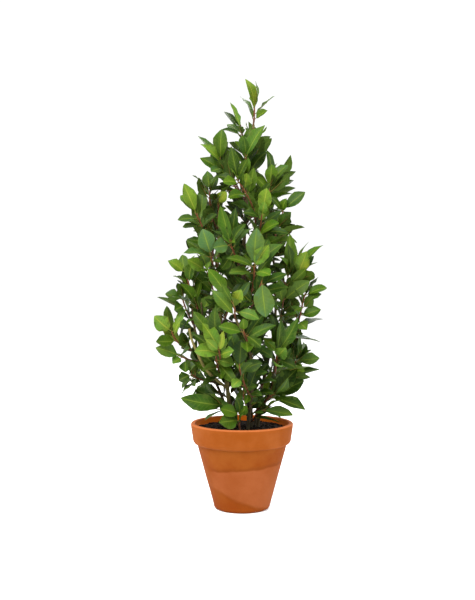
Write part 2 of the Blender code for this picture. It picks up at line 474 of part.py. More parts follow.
# ----------------------------------------------------------------------- room around each piece
class Room:
    """The pieces placed so far, each with its box, to test a new one for overlap."""

    def __init__(self):
        self.trees = []
        self.owners = []
        self.low = []
        self.high = []

    def add(self, owner, shape):
        """Keep a shape as taken space."""
        points = np.array([tuple(v) for v in shape[0]])
        self.trees.append(BVHTree.FromPolygons(shape[0], shape[1]))
        self.owners.append(owner)
        self.low.append(points.min(axis=0))
        self.high.append(points.max(axis=0))

    def is_free(self, shape, ignore=()):
        """True where the shape cuts nothing but the owners that are ignored."""
        points = np.array([tuple(v) for v in shape[0]])
        low = np.array(self.low)
        high = np.array(self.high)
        near = np.all((low <= points.max(axis=0)) & (high >= points.min(axis=0)), axis=1)
        tree = None
        for index in np.flatnonzero(near):
            if self.owners[index] in ignore:
                continue
            tree = tree or BVHTree.FromPolygons(shape[0], shape[1])
            if tree.overlap(self.trees[index]):
                return False
        return True


def by_size(*choices):
    """All combinations of some offsets, the smallest changes first."""
    combos = list(product(*choices))
    largest = [max(abs(value) for value in values) or 1.0 for values in choices]
    return sorted(combos, key=lambda combo: sum(abs(v) / m for v, m in zip(combo, largest)))


# -------------------------------------------------------------------------------- pot and soil
def wall_radius(z):
    """Outside radius of the tapered body at height z."""
    rise = POT_HEIGHT - BAND_HEIGHT
    return BASE_RADIUS + (SHOULDER_RADIUS - BASE_RADIUS) * z / rise


def pot_shape():
    """The pot's wall, floor, drain hole and rim band as one turned outline."""
    band_bottom = POT_HEIGHT - BAND_HEIGHT
    overhang = RIM_RADIUS - BAND_TAPER - SHOULDER_RADIUS
    foot = wall_radius(FOOT_ROUND)
    inner_top = wall_radius(POT_HEIGHT) - WALL
    outline = [(DRAIN_RADIUS, 0.0)]
    outline += arc((foot - FOOT_ROUND, FOOT_ROUND), FOOT_ROUND, -90, 0, 4)
    for radius, height in arc((0.0, 1.0), 1.0, -90, 0, 4):
        outline += [(SHOULDER_RADIUS + overhang * radius, band_bottom + BAND_ROUND * height)]
    outline += arc((RIM_RADIUS - LIP_ROUND, POT_HEIGHT - LIP_ROUND), LIP_ROUND, 0, 90, 3)
    outline += arc((inner_top + LIP_ROUND, POT_HEIGHT - LIP_ROUND), LIP_ROUND, 90, 180, 3)
    outline += [(wall_radius(FLOOR) - WALL, FLOOR), (DRAIN_RADIUS, FLOOR)]
    return revolve(outline, POT_SIDES)


def soil_height(radius):
    """Soil surface: a low crown that falls to SOIL_TOP at the wall."""
    share = radius / wall_radius(SOIL_TOP)
    return SOIL_TOP + SOIL_CROWN * (1.0 - share * share)


def soil_shape():
    """The soil, a plug that fills the pot from the floor to the surface."""
    bottom = FLOOR + GAP
    inside_bottom = wall_radius(bottom) - WALL - GAP
    inside_top = wall_radius(SOIL_TOP) - WALL - GAP
    rings = [(inside_bottom, bottom), (inside_top, SOIL_TOP)]
    rings += [(inside_top * share, soil_height(inside_top * share)) for share in (0.66, 0.33)]
    vertices = [Vector((0.0, 0.0, bottom)), Vector((0.0, 0.0, soil_height(0.0)))]
    for radius, height in rings:
        for k in range(SOIL_SIDES):
            angle = math.tau * k / SOIL_SIDES
            vertices.append(Vector((radius * math.cos(angle), radius * math.sin(angle), height)))
    faces = []
    for k in range(SOIL_SIDES):
        n = (k + 1) % SOIL_SIDES
        faces.append((0, 2 + n, 2 + k))
        for ring in range(len(rings) - 1):
            a = 2 + ring * SOIL_SIDES
            faces.append((a + k, a + n, a + SOIL_SIDES + n, a + SOIL_SIDES + k))
        a = 2 + (len(rings) - 1) * SOIL_SIDES
        faces.append((a + k, a + n, 1))
    return vertices, faces


# ----------------------------------------------------------------------------- stems and shoots
class Stem:
    """A woody stem: its middle line and its radius along it."""

    def __init__(self, name, points, bottom_share, top_share, per_span):
        self.name = name
        self.path = curve_through([drawn_point(*p) for p in points], per_span)
        shares = np.linspace(0.0, 1.0, len(self.path)) ** 0.8
        thick = bottom_share + (top_share - bottom_share) * shares
        self.radii = [TRUNK_RADIUS * float(value) for value in thick]

    def shape(self, grow=0.0):
        """The stem's closed body, or a larger one to make room for it."""
        return tube(self.path, [radius + grow for radius in self.radii], STEM_SIDES)

    def nearest(self, point):
        """Middle point, radius and direction of the stem beside a point."""
        best = None
        for i in range(len(self.path) - 1):
            a, b = self.path[i], self.path[i + 1]
            span = b - a
            t = min(max((point - a).dot(span) / span.length_squared, 0.0), 1.0)
            middle = a + span * t
            distance = (point - middle).length
            if best is None or distance < best[0]:
                radius = self.radii[i] * (1 - t) + self.radii[i + 1] * t
                best = (distance, middle, radius, span.normalized())
        return best[1:]

    def end(self):
        """Middle point, radius and direction at the top end."""
        return self.path[-1], self.radii[-1], (self.path[-1] - self.path[-2]).normalized()


def shoot_start(stem, root, towards):
    """Where a twig starts, just clear of the stem, the soil or the stem's top end."""
    if stem == "soil":
        return Vector((root.x, root.y, soil_height(math.hypot(root.x, root.y)) + 2 * GAP))
    if root is None:
        middle, _, direction = stem.end()
        lean = (towards - middle).normalized()
        return middle + direction * (GAP + TWIG_RADIUS * direction.cross(lean).length + TOP_ROOM)
    middle, radius, direction = stem.nearest(root)
    lean = (towards - middle).normalized()
    out = (lean - direction * lean.dot(direction)).normalized()
    slope = math.sqrt(max(0.0, 1.0 - lean.dot(out) ** 2))
    return middle + out * (radius + TWIG_RADIUS * slope + GAP)


class Twig:
    """The young wood of a shoot: a curve from its start, bent by one point, to its end."""

    def __init__(self, start, bend, end):
        self.start = start
        self.end = end
        self.bend = bend if bend is not None else (start + end) * 0.5
        self.rings = max(3, min(7, round((end - start).length / 0.022) + 2))

    def at(self, t):
        """Point at t, from 0 at the stem to 1 at the end: a quadratic Bezier curve."""
        return self.start * (1 - t) ** 2 + self.bend * 2 * t * (1 - t) + self.end * t * t

    def direction(self, t):
        """Direction of growth at t."""
        slope = (self.bend - self.start) * (1 - t) + (self.end - self.bend) * t
        return slope.normalized()

    def shape(self, grow=0.0, pointed=True):
        """The twig's closed body."""
        shares = np.linspace(0.0, 1.0, self.rings)
        path = [self.at(float(t)) for t in shares]
        radii = [TWIG_RADIUS + (TWIG_TIP_RADIUS - TWIG_RADIUS) * float(t) + grow for t in shares]
        return tube(path, radii, TWIG_SIDES, pointed)

    def nearest_share(self, x, z):
        """The t at which the twig passes closest to (x, z) of the drawing, in cm."""
        shares = np.linspace(0.08, 1.0, 93)
        seen = [as_drawn(self.at(float(t))) for t in shares]
        gaps = [math.hypot(across - x, height - z) for across, height in seen]
        return float(shares[int(np.argmin(gaps))])


FORWARD = Vector((0.0, -1.0, 0.0))
BEND_TRIES = by_size((0.0, 0.7, -0.7, 1.4, -1.4), (0.0, 0.7, -0.7, 1.4, -1.4), (0.0, 0.8, -0.8))
LEAF_TRIES = by_size((0.0, 0.5, -0.5, 1.1, -1.1, 1.8, -1.8, 2.6, -2.6),
                     (0.0, 14.0, -14.0, 28.0, -28.0, 42.0),
                     (0.0, 5.0, -5.0, 10.0, -10.0, 16.0, -16.0))
LEAF_SIZES = (1.0, 0.86, 0.72)
TURNED_WIDER = 0.3          # a leaf seen edge-on is drawn narrower than it is, by up to this share
TRUNCATED = ("shoot_right_edge_mid",)


def place_twig(name, stem, root, bend, end, room):
    """Find a way for the twig that touches nothing else, by moving its bend and its end."""
    ignore = (name,)
    for bend_forward, end_forward, bend_up in BEND_TRIES:
        moved_end = end + Vector((0.0, -end_forward * CM, 0.0))
        moved_bend = None
        if bend is not None:
            moved_bend = bend + Vector((0.0, -bend_forward * CM, bend_up * CM))
        start = shoot_start(stem, root, moved_bend if bend is not None else moved_end)
        twig = Twig(start, moved_bend, moved_end)
        if room.is_free(twig.shape(grow=GAP * 0.2), ignore):
            break
    else:
        print("crowded twig:", name)
    return twig


def place_leaf(name, twig, share, tip, front, width, turn, room):
    """Turn, swing and if need be shorten a leaf until it has room; None where it has none."""
    base = twig.at(share)
    for size in LEAF_SIZES:
        for forward, turn_more, swing in LEAF_TRIES:
            moved = tip + front * forward * CM
            spin = Matrix.Rotation(math.radians(swing), 3, front)
            moved = base + (spin @ (moved - base)) * size
            if moved.y < -FRONT_REACH:
                continue
            axes = leaf_axes(base, moved, front, turn + turn_more)
            blade = leaf_shape(base, moved, width * size, axes, LEAF_CLEARANCE, True)
            if not room.is_free(blade):
                continue
            whole = leaf_shape(base, moved, width * size, axes, LEAF_CLEARANCE * 0.4)
            if room.is_free(whole, (name,)):
                return leaf_shape(base, moved, width * size, axes)
    return None


def spread_shares(shares, length):
    """Move leaf bases apart along the twig, so that no two stalks start at one place."""
    step = min(STALK_STEP / length, MOST_SPREAD / max(len(shares), 1))
    order = sorted(range(len(shares)), key=lambda i: -shares[i])
    spaced = list(shares)
    limit = 1.0 - END_ROOM / length
    for i in order:
        spaced[i] = min(spaced[i], limit)
        limit = spaced[i] - step
    return spaced


def drawn_leaves(twig, rows):
    """The leaves of a drawn shoot: place on the twig, tip, face direction, width and turn."""
    shares = spread_shares([twig.nearest_share(row[0], row[1]) for row in rows],
                           (twig.end - twig.start).length)
    leaves = []
    for share, (_, _, x, z, forward, width, turn) in zip(shares, rows):
        depth = twig.at(share).y / CM / SPREAD_SCALE - forward
        if depth < 0.0:
            depth /= FRONT_DEPTH
        whole_width = width * CM * (1.0 + TURNED_WIDER * turn / 90.0)
        leaves.append((share, drawn_point(x, depth, z), FORWARD, whole_width, turn))
    return leaves


def grown_leaves(twig, shares, phase):
    """Leaves that follow the golden angle up a twig, larger in its lower part."""
    leaves = []
    for k, share in enumerate(shares):
        base = twig.at(share)
        growth = twig.direction(share)
        across = growth.orthogonal().normalized()
        round_twig = Matrix.Rotation(phase + GOLDEN_ANGLE * k, 3, growth) @ across
        outward = Vector((base.x, base.y, 0.0)).normalized()
        spread = 1.0 - GROWN_CLOSING * share
        way = growth * (GROWN_FORWARD + GROWN_STEEPER * share) + round_twig * spread
        way += outward * GROWN_OUTWARD + UP * GROWN_LIFT
        uneven = 1.0 - GROWN_UNEVEN + 2.0 * GROWN_UNEVEN * ((k * 7) % 5) / 4
        leaf_length = (GROWN_LENGTH - GROWN_SHORTER * share) * uneven
        tip = base + way.normalized() * leaf_length
        front = (outward + UP * GROWN_FACE_UP).normalized()
        turn = GROWN_TURN * ((k * 3) % 4)
        leaves.append((share, tip, front, leaf_length * GROWN_WIDTH, turn))
    return leaves


def back_shoot(k, stems):
    """Root, bend and end of back shoot k, and the stem that carries it."""
    height = BACK_LOWEST + (BACK_HIGHEST - BACK_LOWEST) * k / (BACK_SHOOTS - 1)
    azimuth = BACK_START + BACK_ARC * ((0.5 + k * GOLDEN_SHARE) % 1.0)
    reach = float(np.interp(height, CONE_HEIGHTS, CONE_RADII)) * BACK_REACH
    end = place(reach * math.cos(azimuth), reach * math.sin(azimuth), height)
    inner = BACK_ROOT_SHARE * reach
    low = place(inner * math.cos(azimuth), inner * math.sin(azimuth), height - BACK_CLIMB)
    name = min(BACK_STEMS, key=lambda n: (stems[n].nearest(low)[0] - low).length)
    root = stems[name].nearest(low)[0]
    bend = root.lerp(end, BACK_BEND_SHARE) - UP * BACK_SAG
    return name, root, bend, end


def build():
    """Make every piece of the potted plant."""
    clear_scene()
    terracotta = make_material("terracotta", (0.55, 0.17, 0.05), 0.85)
    soil_matter = make_material("soil", (0.03, 0.02, 0.014), 1.0)
    bark = make_material("bark", (0.11, 0.09, 0.055), 0.8)
    leaf_green = make_material("leaf", (0.045, 0.12, 0.025), 0.45)

    room = Room()
    pot = add_object("pot", *pot_shape(), terracotta)
    smooth_round(pot)
    room.add("pot", pot_shape())
    soil = add_object("soil", *soil_shape(), soil_matter)
    smooth_round(soil)
    room.add("soil", soil_shape())

    stems = {}
    for name, (points, bottom, top) in STEMS.items():
        stems[name] = Stem(name, points, bottom, top, 2)
    for name, (points, bottom, top) in PRUNED.items():
        stems[name] = Stem(name, points, bottom, top, 1)
    for name, stem in stems.items():
        if not room.is_free(stem.shape(), ("pot", "soil")):
            print("overlapping stem:", name)
        made = add_object(name, *stem.shape(), bark)
        smooth_round(made)
        room.add(name, stem.shape())

    planted = [stems[name].shape(grow=GAP) for name in STEMS]
    roots = add_object("root_holes", *joined(planted), soil_matter)
    add_boolean(soil, roots, "DIFFERENCE")

    plans = []
    for name, stem, root, bend, end, rows in SHOOTS:
        carrier = stems.get(stem, stem)
        start = None if root == "top" else drawn_point(*root)
        bent = None if bend is None else drawn_point(*bend)
        plans.append((name, carrier, start, bent, drawn_point(*end), rows))
    for k in range(BACK_SHOOTS):
        stem, root, bend, end = back_shoot(k, stems)
        plans.append((f"shoot_back_{k + 1:02d}", stems[stem], root, bend, end, None))

    twigs = {}
    for name, carrier, start, bend, end, rows in plans:
        twig = place_twig(name, carrier, start, bend, end, room)
        twigs[name] = twig
        room.add(name, twig.shape(pointed=name not in TRUNCATED))

    drawn = {name: drawn_leaves(twigs[name], rows) for name, *_, rows in plans if rows}
    grown = {}
    for order, (name, *_, rows) in enumerate(plans):
        twig = twigs[name]
        length = (twig.end - twig.start).length
        if rows:
            count = min(FILL_MOST, round(length / FILL_SPACING) + 1)
            grown[name] = grown_leaves(twig, np.linspace(0.2, 0.8, count), order)
        else:
            shares = spread_shares(list(np.linspace(0.3, 1.0, BACK_LEAVES) ** 0.8), length)
            grown[name] = grown_leaves(twig, shares, order)

    shapes = {name: [] for name in twigs}
    wanted = 0
    for leaves_of in (drawn, grown):
        for name, leaves in leaves_of.items():
            for leaf in leaves:
                wanted += 1
                shape = place_leaf(name, twigs[name], *leaf, room)
                if shape is not None:
                    shapes[name].append(shape)
                    room.add(name + "_leaf", shape)
    for name, twig in twigs.items():
        shoot = add_object(name, *twig.shape(pointed=name not in TRUNCATED), leaf_green)
        blades = add_object("leaves_of_" + name, *joined(shapes[name]), leaf_green)
        add_boolean(shoot, blades, "UNION")
    placed = sum(len(found) for found in shapes.values())
    print("shoots", len(twigs), "leaves", placed, "of", wanted)


build()
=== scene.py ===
# %% [markdown]
# # Potted bay laurel
#
# The design model gives every stem, every leafy shoot, the pot and the soil as plain closed
# bodies in one shared frame. This file gives them their looks. It reads where each stem, twig and
# leaf lies from those plain bodies, and grows a fine surface in the same place: veined, folded,
# wavy leaves, thin red-brown twigs, bark, fired clay and crumbly soil.

# %% Load the frame
import math

import bpy
import numpy as np
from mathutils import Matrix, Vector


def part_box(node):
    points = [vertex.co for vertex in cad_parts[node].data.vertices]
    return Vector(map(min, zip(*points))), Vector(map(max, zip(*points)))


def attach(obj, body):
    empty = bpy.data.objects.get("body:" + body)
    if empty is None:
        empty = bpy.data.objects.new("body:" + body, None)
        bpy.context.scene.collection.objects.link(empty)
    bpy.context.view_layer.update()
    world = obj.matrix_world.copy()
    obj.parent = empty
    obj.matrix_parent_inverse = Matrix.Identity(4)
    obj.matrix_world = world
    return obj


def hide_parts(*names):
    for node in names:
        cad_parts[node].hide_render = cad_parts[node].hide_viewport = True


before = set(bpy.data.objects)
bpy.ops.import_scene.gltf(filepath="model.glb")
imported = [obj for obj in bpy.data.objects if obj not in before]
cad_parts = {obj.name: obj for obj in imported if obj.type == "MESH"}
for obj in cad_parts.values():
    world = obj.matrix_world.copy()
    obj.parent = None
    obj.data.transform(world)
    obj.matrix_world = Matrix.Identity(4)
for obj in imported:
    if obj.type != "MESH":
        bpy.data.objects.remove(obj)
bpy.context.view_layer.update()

ROOT_BODY = "root"
rng = np.random.default_rng(20)

# %% [markdown]
# ## Camera and light
#
# A shop shows a plant from a little over two metres away with a long lens, so that the pot and the
# top both look upright. The light could be a few lamps, but a real studio
# wraps the plant in large soft sources, so one big panel above the camera, a weaker one on each
# side and a white world are used. The Standard view keeps clay and leaves as saturated as their
# materials are; the softer default view would grey them.

# %% Camera
EYE = (-0.009, -2.10, 0.513)
LOOK_AT = (-0.009, 0.0, 0.419)
FRAME_HEIGHT = 1.20            # metres that the long side of the view spans at the plant


def aim(holder, target):
    """Turn an object so that its -Z axis points at the target."""
    away = np.subtract(holder.location, target)
    level = math.hypot(away[0], away[1])
    holder.rotation_euler = (math.atan2(level, away[2]), 0.0, math.atan2(away[0], -away[1]))


camera_data = bpy.data.cameras.new("camera")
camera = bpy.data.objects.new("camera", camera_data)
bpy.context.scene.collection.objects.link(camera)
camera.location = EYE
aim(camera, LOOK_AT)
eye_distance = math.dist(EYE, LOOK_AT)
camera_data.sensor_fit = "AUTO"
camera_data.lens = camera_data.sensor_width * eye_distance / FRAME_HEIGHT
bpy.context.scene.camera = camera
print("camera", round(eye_distance, 3), "m away, lens", round(camera_data.lens, 1), "mm")


# %% Soft panels and a white room
def add_panel(name, place, target, size, watts, colour=(1.0, 1.0, 1.0)):
    """A square soft light that faces the target."""
    data = bpy.data.lights.new(name, "AREA")
    data.shape = "SQUARE"
    data.size = size
    data.energy = watts
    data.color = colour
    panel = bpy.data.objects.new(name, data)
    bpy.context.scene.collection.objects.link(panel)
    panel.location = place
    aim(panel, target)


MIDDLE = (0.0, 0.0, 0.45)      # the panels face the middle of the plant
ROOM_LIGHT = 1.06              # strength of the white room
add_panel("key_panel", (-0.9, -1.7, 2.3), MIDDLE, 1.4, 115.0, (1.0, 0.985, 0.95))
add_panel("right_panel", (2.0, -0.9, 1.2), MIDDLE, 1.3, 44.0, (0.96, 0.98, 1.0))
add_panel("left_panel", (-2.1, 0.2, 1.3), MIDDLE, 1.2, 30.0)
add_panel("back_panel", (0.6, 1.9, 1.9), MIDDLE, 1.2, 34.0)

world = bpy.data.worlds.new("pale_room")
world.use_nodes = True
world.node_tree.nodes["Background"].inputs["Color"].default_value = (1.0, 1.0, 1.0, 1.0)
world.node_tree.nodes["Background"].inputs["Strength"].default_value = ROOM_LIGHT
bpy.context.scene.world = world
bpy.context.scene.view_settings.view_transform = "Standard"
print("lights", len(bpy.data.lights))

# %% [markdown]
# ## Helpers for surfaces and materials
#
# Blender can build a mesh point by point, but whole arrays are faster and read like the maths.
# Every organic piece here is the same thing: rings of points carried along a line, closed at both
# ends by a single point. One function turns any stack of rings into faces, so a leaf, a stalk, a
# twig and a stem all share it.


# %% Rings of points to faces
def ring_faces(rings, around):
    """Faces of one closed body made of rings, in the order ring by ring, then start and end pole.

    Point k of ring j is j * around + k. Quads join point k and k + 1 of two neighbouring rings;
    triangles fan from the first ring to the start pole and from the last ring to the end pole.
    """
    j, k = np.meshgrid(np.arange(rings - 1), np.arange(around), indexing="ij")
    after = (k + 1) % around
    quads = np.stack([j * around + k, j * around + after,
                      (j + 1) * around + after, (j + 1) * around + k], axis=-1).reshape(-1, 4)
    spin = np.arange(around)
    following = (spin + 1) % around
    start = rings * around
    last = (rings - 1) * around
    first_fan = np.stack([following, spin, np.full(around, start)], axis=-1)
    last_fan = np.stack([last + spin, last + following, np.full(around, start + 1)], axis=-1)
    return quads, np.concatenate([first_fan, last_fan])


print("seven rings of eight make", sum(len(faces) for faces in ring_faces(7, 8)), "faces")


# %% Many bodies in one mesh
SHARP_ANGLE = math.radians(80.0)   # a leaf's margin and a sawn end are sharp, a fold is not


class MeshParts:
    """Collects points, quads, triangles and per-corner data of many bodies for one mesh."""

    def __init__(self):
        self.points = []
        self.quads = []
        self.triangles = []
        self.quad_data = []
        self.triangle_data = []
        self.count = 0

    def add(self, points, quads, triangles, quad_uv, triangle_uv, quad_tags, triangle_tags):
        """Add bodies of one kind: points (bodies, n, 3); faces and data are for one body.

        The tags are (bodies, faces, values) arrays that end up as face attributes.
        """
        bodies, size = points.shape[:2]
        shift = self.count + size * np.arange(bodies)[:, None, None]
        self.points.append(points.reshape(-1, 3))
        self.quads.append((quads[None] + shift).reshape(-1, 4))
        self.triangles.append((triangles[None] + shift).reshape(-1, 3))
        self.quad_data.append((np.tile(quad_uv, (bodies, 1, 1)).reshape(-1, 2),
                               quad_tags.reshape(-1, quad_tags.shape[-1])))
        self.triangle_data.append((np.tile(triangle_uv, (bodies, 1, 1)).reshape(-1, 2),
                                   triangle_tags.reshape(-1, triangle_tags.shape[-1])))
        self.count += bodies * size

    def build(self, name, tag_names, materials, slots):
        """Make the mesh object, with its UV map, its face attributes and its material slots."""
        points = np.concatenate(self.points)
        quads = np.concatenate(self.quads)
        triangles = np.concatenate(self.triangles)
        uv = np.concatenate([data[0] for data in self.quad_data + self.triangle_data])
        tags = np.concatenate([data[1] for data in self.quad_data + self.triangle_data])
        corners = np.concatenate([quads.ravel(), triangles.ravel()])
        sizes = np.concatenate([np.full(len(quads), 4), np.full(len(triangles), 3)])
        mesh = bpy.data.meshes.new(name)
        mesh.vertices.add(len(points))
        mesh.vertices.foreach_set("co", points.astype(np.float32).ravel())
        mesh.loops.add(len(corners))
        mesh.loops.foreach_set("vertex_index", corners.astype(np.int32))
        mesh.polygons.add(len(sizes))
        starts = np.concatenate([[0], np.cumsum(sizes)[:-1]])
        mesh.polygons.foreach_set("loop_start", starts.astype(np.int32))
        mesh.update(calc_edges=True)
        mesh.uv_layers.new(name="surface").data.foreach_set("uv", uv.astype(np.float32).ravel())
        for column, tag in enumerate(tag_names):
            layer = mesh.attributes.new(tag, "FLOAT", "FACE")
            layer.data.foreach_set("value", tags[:, column].astype(np.float32))
        for material in materials:
            mesh.materials.append(material)
        if slots is not None:
            mesh.polygons.foreach_set("material_index", tags[:, slots].astype(np.int32))
        mesh.shade_smooth()
        mesh.set_sharp_from_angle(angle=SHARP_ANGLE)
        made = bpy.data.objects.new(name, mesh)
        bpy.context.scene.collection.objects.link(made)
        return made


# %% Directions and smooth noise
def unit(vectors):
    """Vectors of length one, along the last axis."""
    return vectors / np.maximum(np.linalg.norm(vectors, axis=-1, keepdims=True), 1e-12)


HASH_STEPS = np.array([374761393, 668265263, 2147483647])   # scatter x, y and z,
HASH_SEED = 1274126177                                      # the seed,
HASH_TURN = 1103515245                                      # and the mixed bits


def value_noise(points, seed):
    """Smooth noise from -1 to 1: random values at whole numbers, blended by 3t^2 - 2t^3."""
    cell = np.floor(points).astype(np.int64)
    blend = points - cell
    blend = blend * blend * (3.0 - 2.0 * blend)
    total = np.zeros(points.shape[:-1])
    for corner in np.ndindex(2, 2, 2):
        corner = np.array(corner)
        where = cell + corner
        mixed = ((where * HASH_STEPS).sum(axis=-1) + seed * HASH_SEED) & 0xFFFFFFFF
        mixed = ((mixed ^ (mixed >> 13)) * HASH_TURN) & 0xFFFFFFFF
        value = ((mixed ^ (mixed >> 16)) & 0xFFFF) / 32767.5 - 1.0
        weight = np.prod(np.where(corner == 1, blend, 1.0 - blend), axis=-1)
        total = total + value * weight
    return total


print("noise at one place", round(float(value_noise(np.array([0.3, 0.6, 0.9]), 1)), 3))


# %% [markdown]
# Materials are node graphs. Wiring them by hand in code is long, so a small class adds a node,
# sets its sockets and links it in one call. Everything still ends in one Principled shader.


# %% A short way to wire nodes
class Graph:
    """A material's node tree, with one call for each node."""

    def __init__(self, name):
        self.material = bpy.data.materials.new(name)
        self.material.use_nodes = True
        self.tree = self.material.node_tree
        self.shader = self.tree.nodes["Principled BSDF"]

    def node(self, kind, settings=None, **inputs):
        """Add a node; an input is a value or another node's output socket."""
        made = self.tree.nodes.new(kind)
        for key, value in (settings or {}).items():
            setattr(made, key, value)
        for key, value in inputs.items():
            self.put(made, key, value)
        return made

    def put(self, node, key, value):
        """Set or link one input, named by its label or by its number as in i0."""
        plain = key[1:].isdigit() and key[0] == "i"
        socket = node.inputs[int(key[1:])] if plain else node.inputs[key.replace("_", " ")]
        if isinstance(value, bpy.types.NodeSocket):
            self.tree.links.new(value, socket)
        else:
            socket.default_value = value

    def math(self, operation, a, b=0.0, clamp=False):
        """One arithmetic step."""
        settings = {"operation": operation, "use_clamp": clamp}
        return self.node("ShaderNodeMath", settings, i0=a, i1=b).outputs[0]

    def scaled(self, value, factor, offset):
        """value * factor + offset."""
        made = self.node("ShaderNodeMath", {"operation": "MULTIPLY_ADD"},
                         i0=value, i1=factor, i2=offset)
        return made.outputs[0]

    def outside(self, share):
        """1 - share: everywhere that a mask is not."""
        return self.math("SUBTRACT", 1.0, share)

    def smooth(self, value, low, high):
        """0 below low, 1 above high, and a smooth step between them."""
        settings = {"interpolation_type": "SMOOTHSTEP"}
        made = self.node("ShaderNodeMapRange", settings, i0=value, i1=low, i2=high)
        return made.outputs[0]

    def mix(self, share, first, second, blend="MIX"):
        """Blend two colours."""
        made = self.node("ShaderNodeMix", {"data_type": "RGBA", "blend_type": blend},
                         i0=share, i6=first, i7=second)
        return made.outputs[2]

    def noise(self, vector, scale, detail=3.0, roughness=0.55):
        """Noise from 0 to 1."""
        made = self.node("ShaderNodeTexNoise", None, Vector=vector, Scale=scale, Detail=detail,
                         Roughness=roughness)
        return made.outputs["Fac"]

    def ramp(self, value, stops):
        """A colour ramp from (place, colour) pairs."""
        made = self.node("ShaderNodeValToRGB", None, Fac=value)
        elements = made.color_ramp.elements
        for extra in stops[2:]:
            elements.new(extra[0])
        for element, (place, colour) in zip(elements, sorted(stops, key=lambda s: s[0])):
            element.position = place
            element.color = (*colour, 1.0)
        return made.outputs["Color"]

    def attribute(self, name):
        """A number stored on the mesh."""
        return self.node("ShaderNodeAttribute", {"attribute_name": name}).outputs["Fac"]

    def place(self):
        """Object coordinates."""
        return self.node("ShaderNodeTexCoord").outputs["Object"]

    def finish(self, colour, roughness, height=None, depth=0.001, strength=0.4, **sockets):
        """Feed the shader: colour, roughness, a bump from a height, and constant sockets."""
        self.put(self.shader, "Base Color", colour)
        self.put(self.shader, "Roughness", roughness)
        if height is not None:
            bump = self.node("ShaderNodeBump", None, Strength=strength, Distance=depth,
                             Height=height)
            self.put(self.shader, "Normal", bump.outputs["Normal"])
        for key, value in sockets.items():
            self.put(self.shader, key, value)
        return self.material


# %% [markdown]
# ## Leaf surface colour
#
# A bay leaf is leathery: dark green above with a satin gloss, paler and duller below, with a
# yellowish midrib, fine side veins and a thin pale margin. Young leaves are thin, bright
# yellow-green and less glossy. A painted texture could be wrapped on each leaf, but a leaf has a
# simple plan, so the veins are drawn from the leaf's own coordinates: across (0 to 1, midrib at
# one half) and along (0 at the stalk, 1 at the tip). The age of each leaf is stored on its faces;
# its darkest end also stands for painted shade. A painted sheen, grey-green mixed into the
# colour, is stored there too.


# %% Leaf material
SIDE_VEINS = 9.0               # pairs of side veins on a leaf
VEIN_SLANT = 1.7               # how far forward they reach the margin, in veins
PAINTED_SHEEN_SHARE = 0.65             # how strongly the painted sheen greys a leaf
HEART_SHARE = 0.16             # how strongly the pale colour shows near the midrib,
VEIN_SHARE = 0.28              # in the side veins,
MARGIN_SHARE = 0.38            # along the margin
MIDRIB_SHARE = 0.80            # and on the midrib


def leaf_veins(g, place, across, along):
    """Masks of the side veins, a slanting saw of SIDE_VEINS teeth, and of the midrib.

    A vein lies where the fraction of SIDE_VEINS * along - VEIN_SLANT * across is near one half.
    """
    slant = g.math("SUBTRACT", g.math("MULTIPLY", along, SIDE_VEINS),
                   g.math("MULTIPLY", across, VEIN_SLANT))
    wobble = g.math("MULTIPLY", g.noise(place, 90.0, 1.0), 0.5)
    saw = g.math("FRACT", g.math("ADD", slant, wobble))
    ridge = g.math("ABSOLUTE", g.math("SUBTRACT", saw, 0.5))
    veins = g.outside(g.smooth(ridge, 0.015, 0.085))
    veins = g.math("MULTIPLY", veins, g.outside(g.smooth(across, 0.75, 0.97)))
    rib_width = g.math("SUBTRACT", 0.085, g.math("MULTIPLY", along, 0.045))
    midrib = g.outside(g.smooth(g.math("DIVIDE", across, rib_width), 0.55, 1.1))
    return veins, midrib


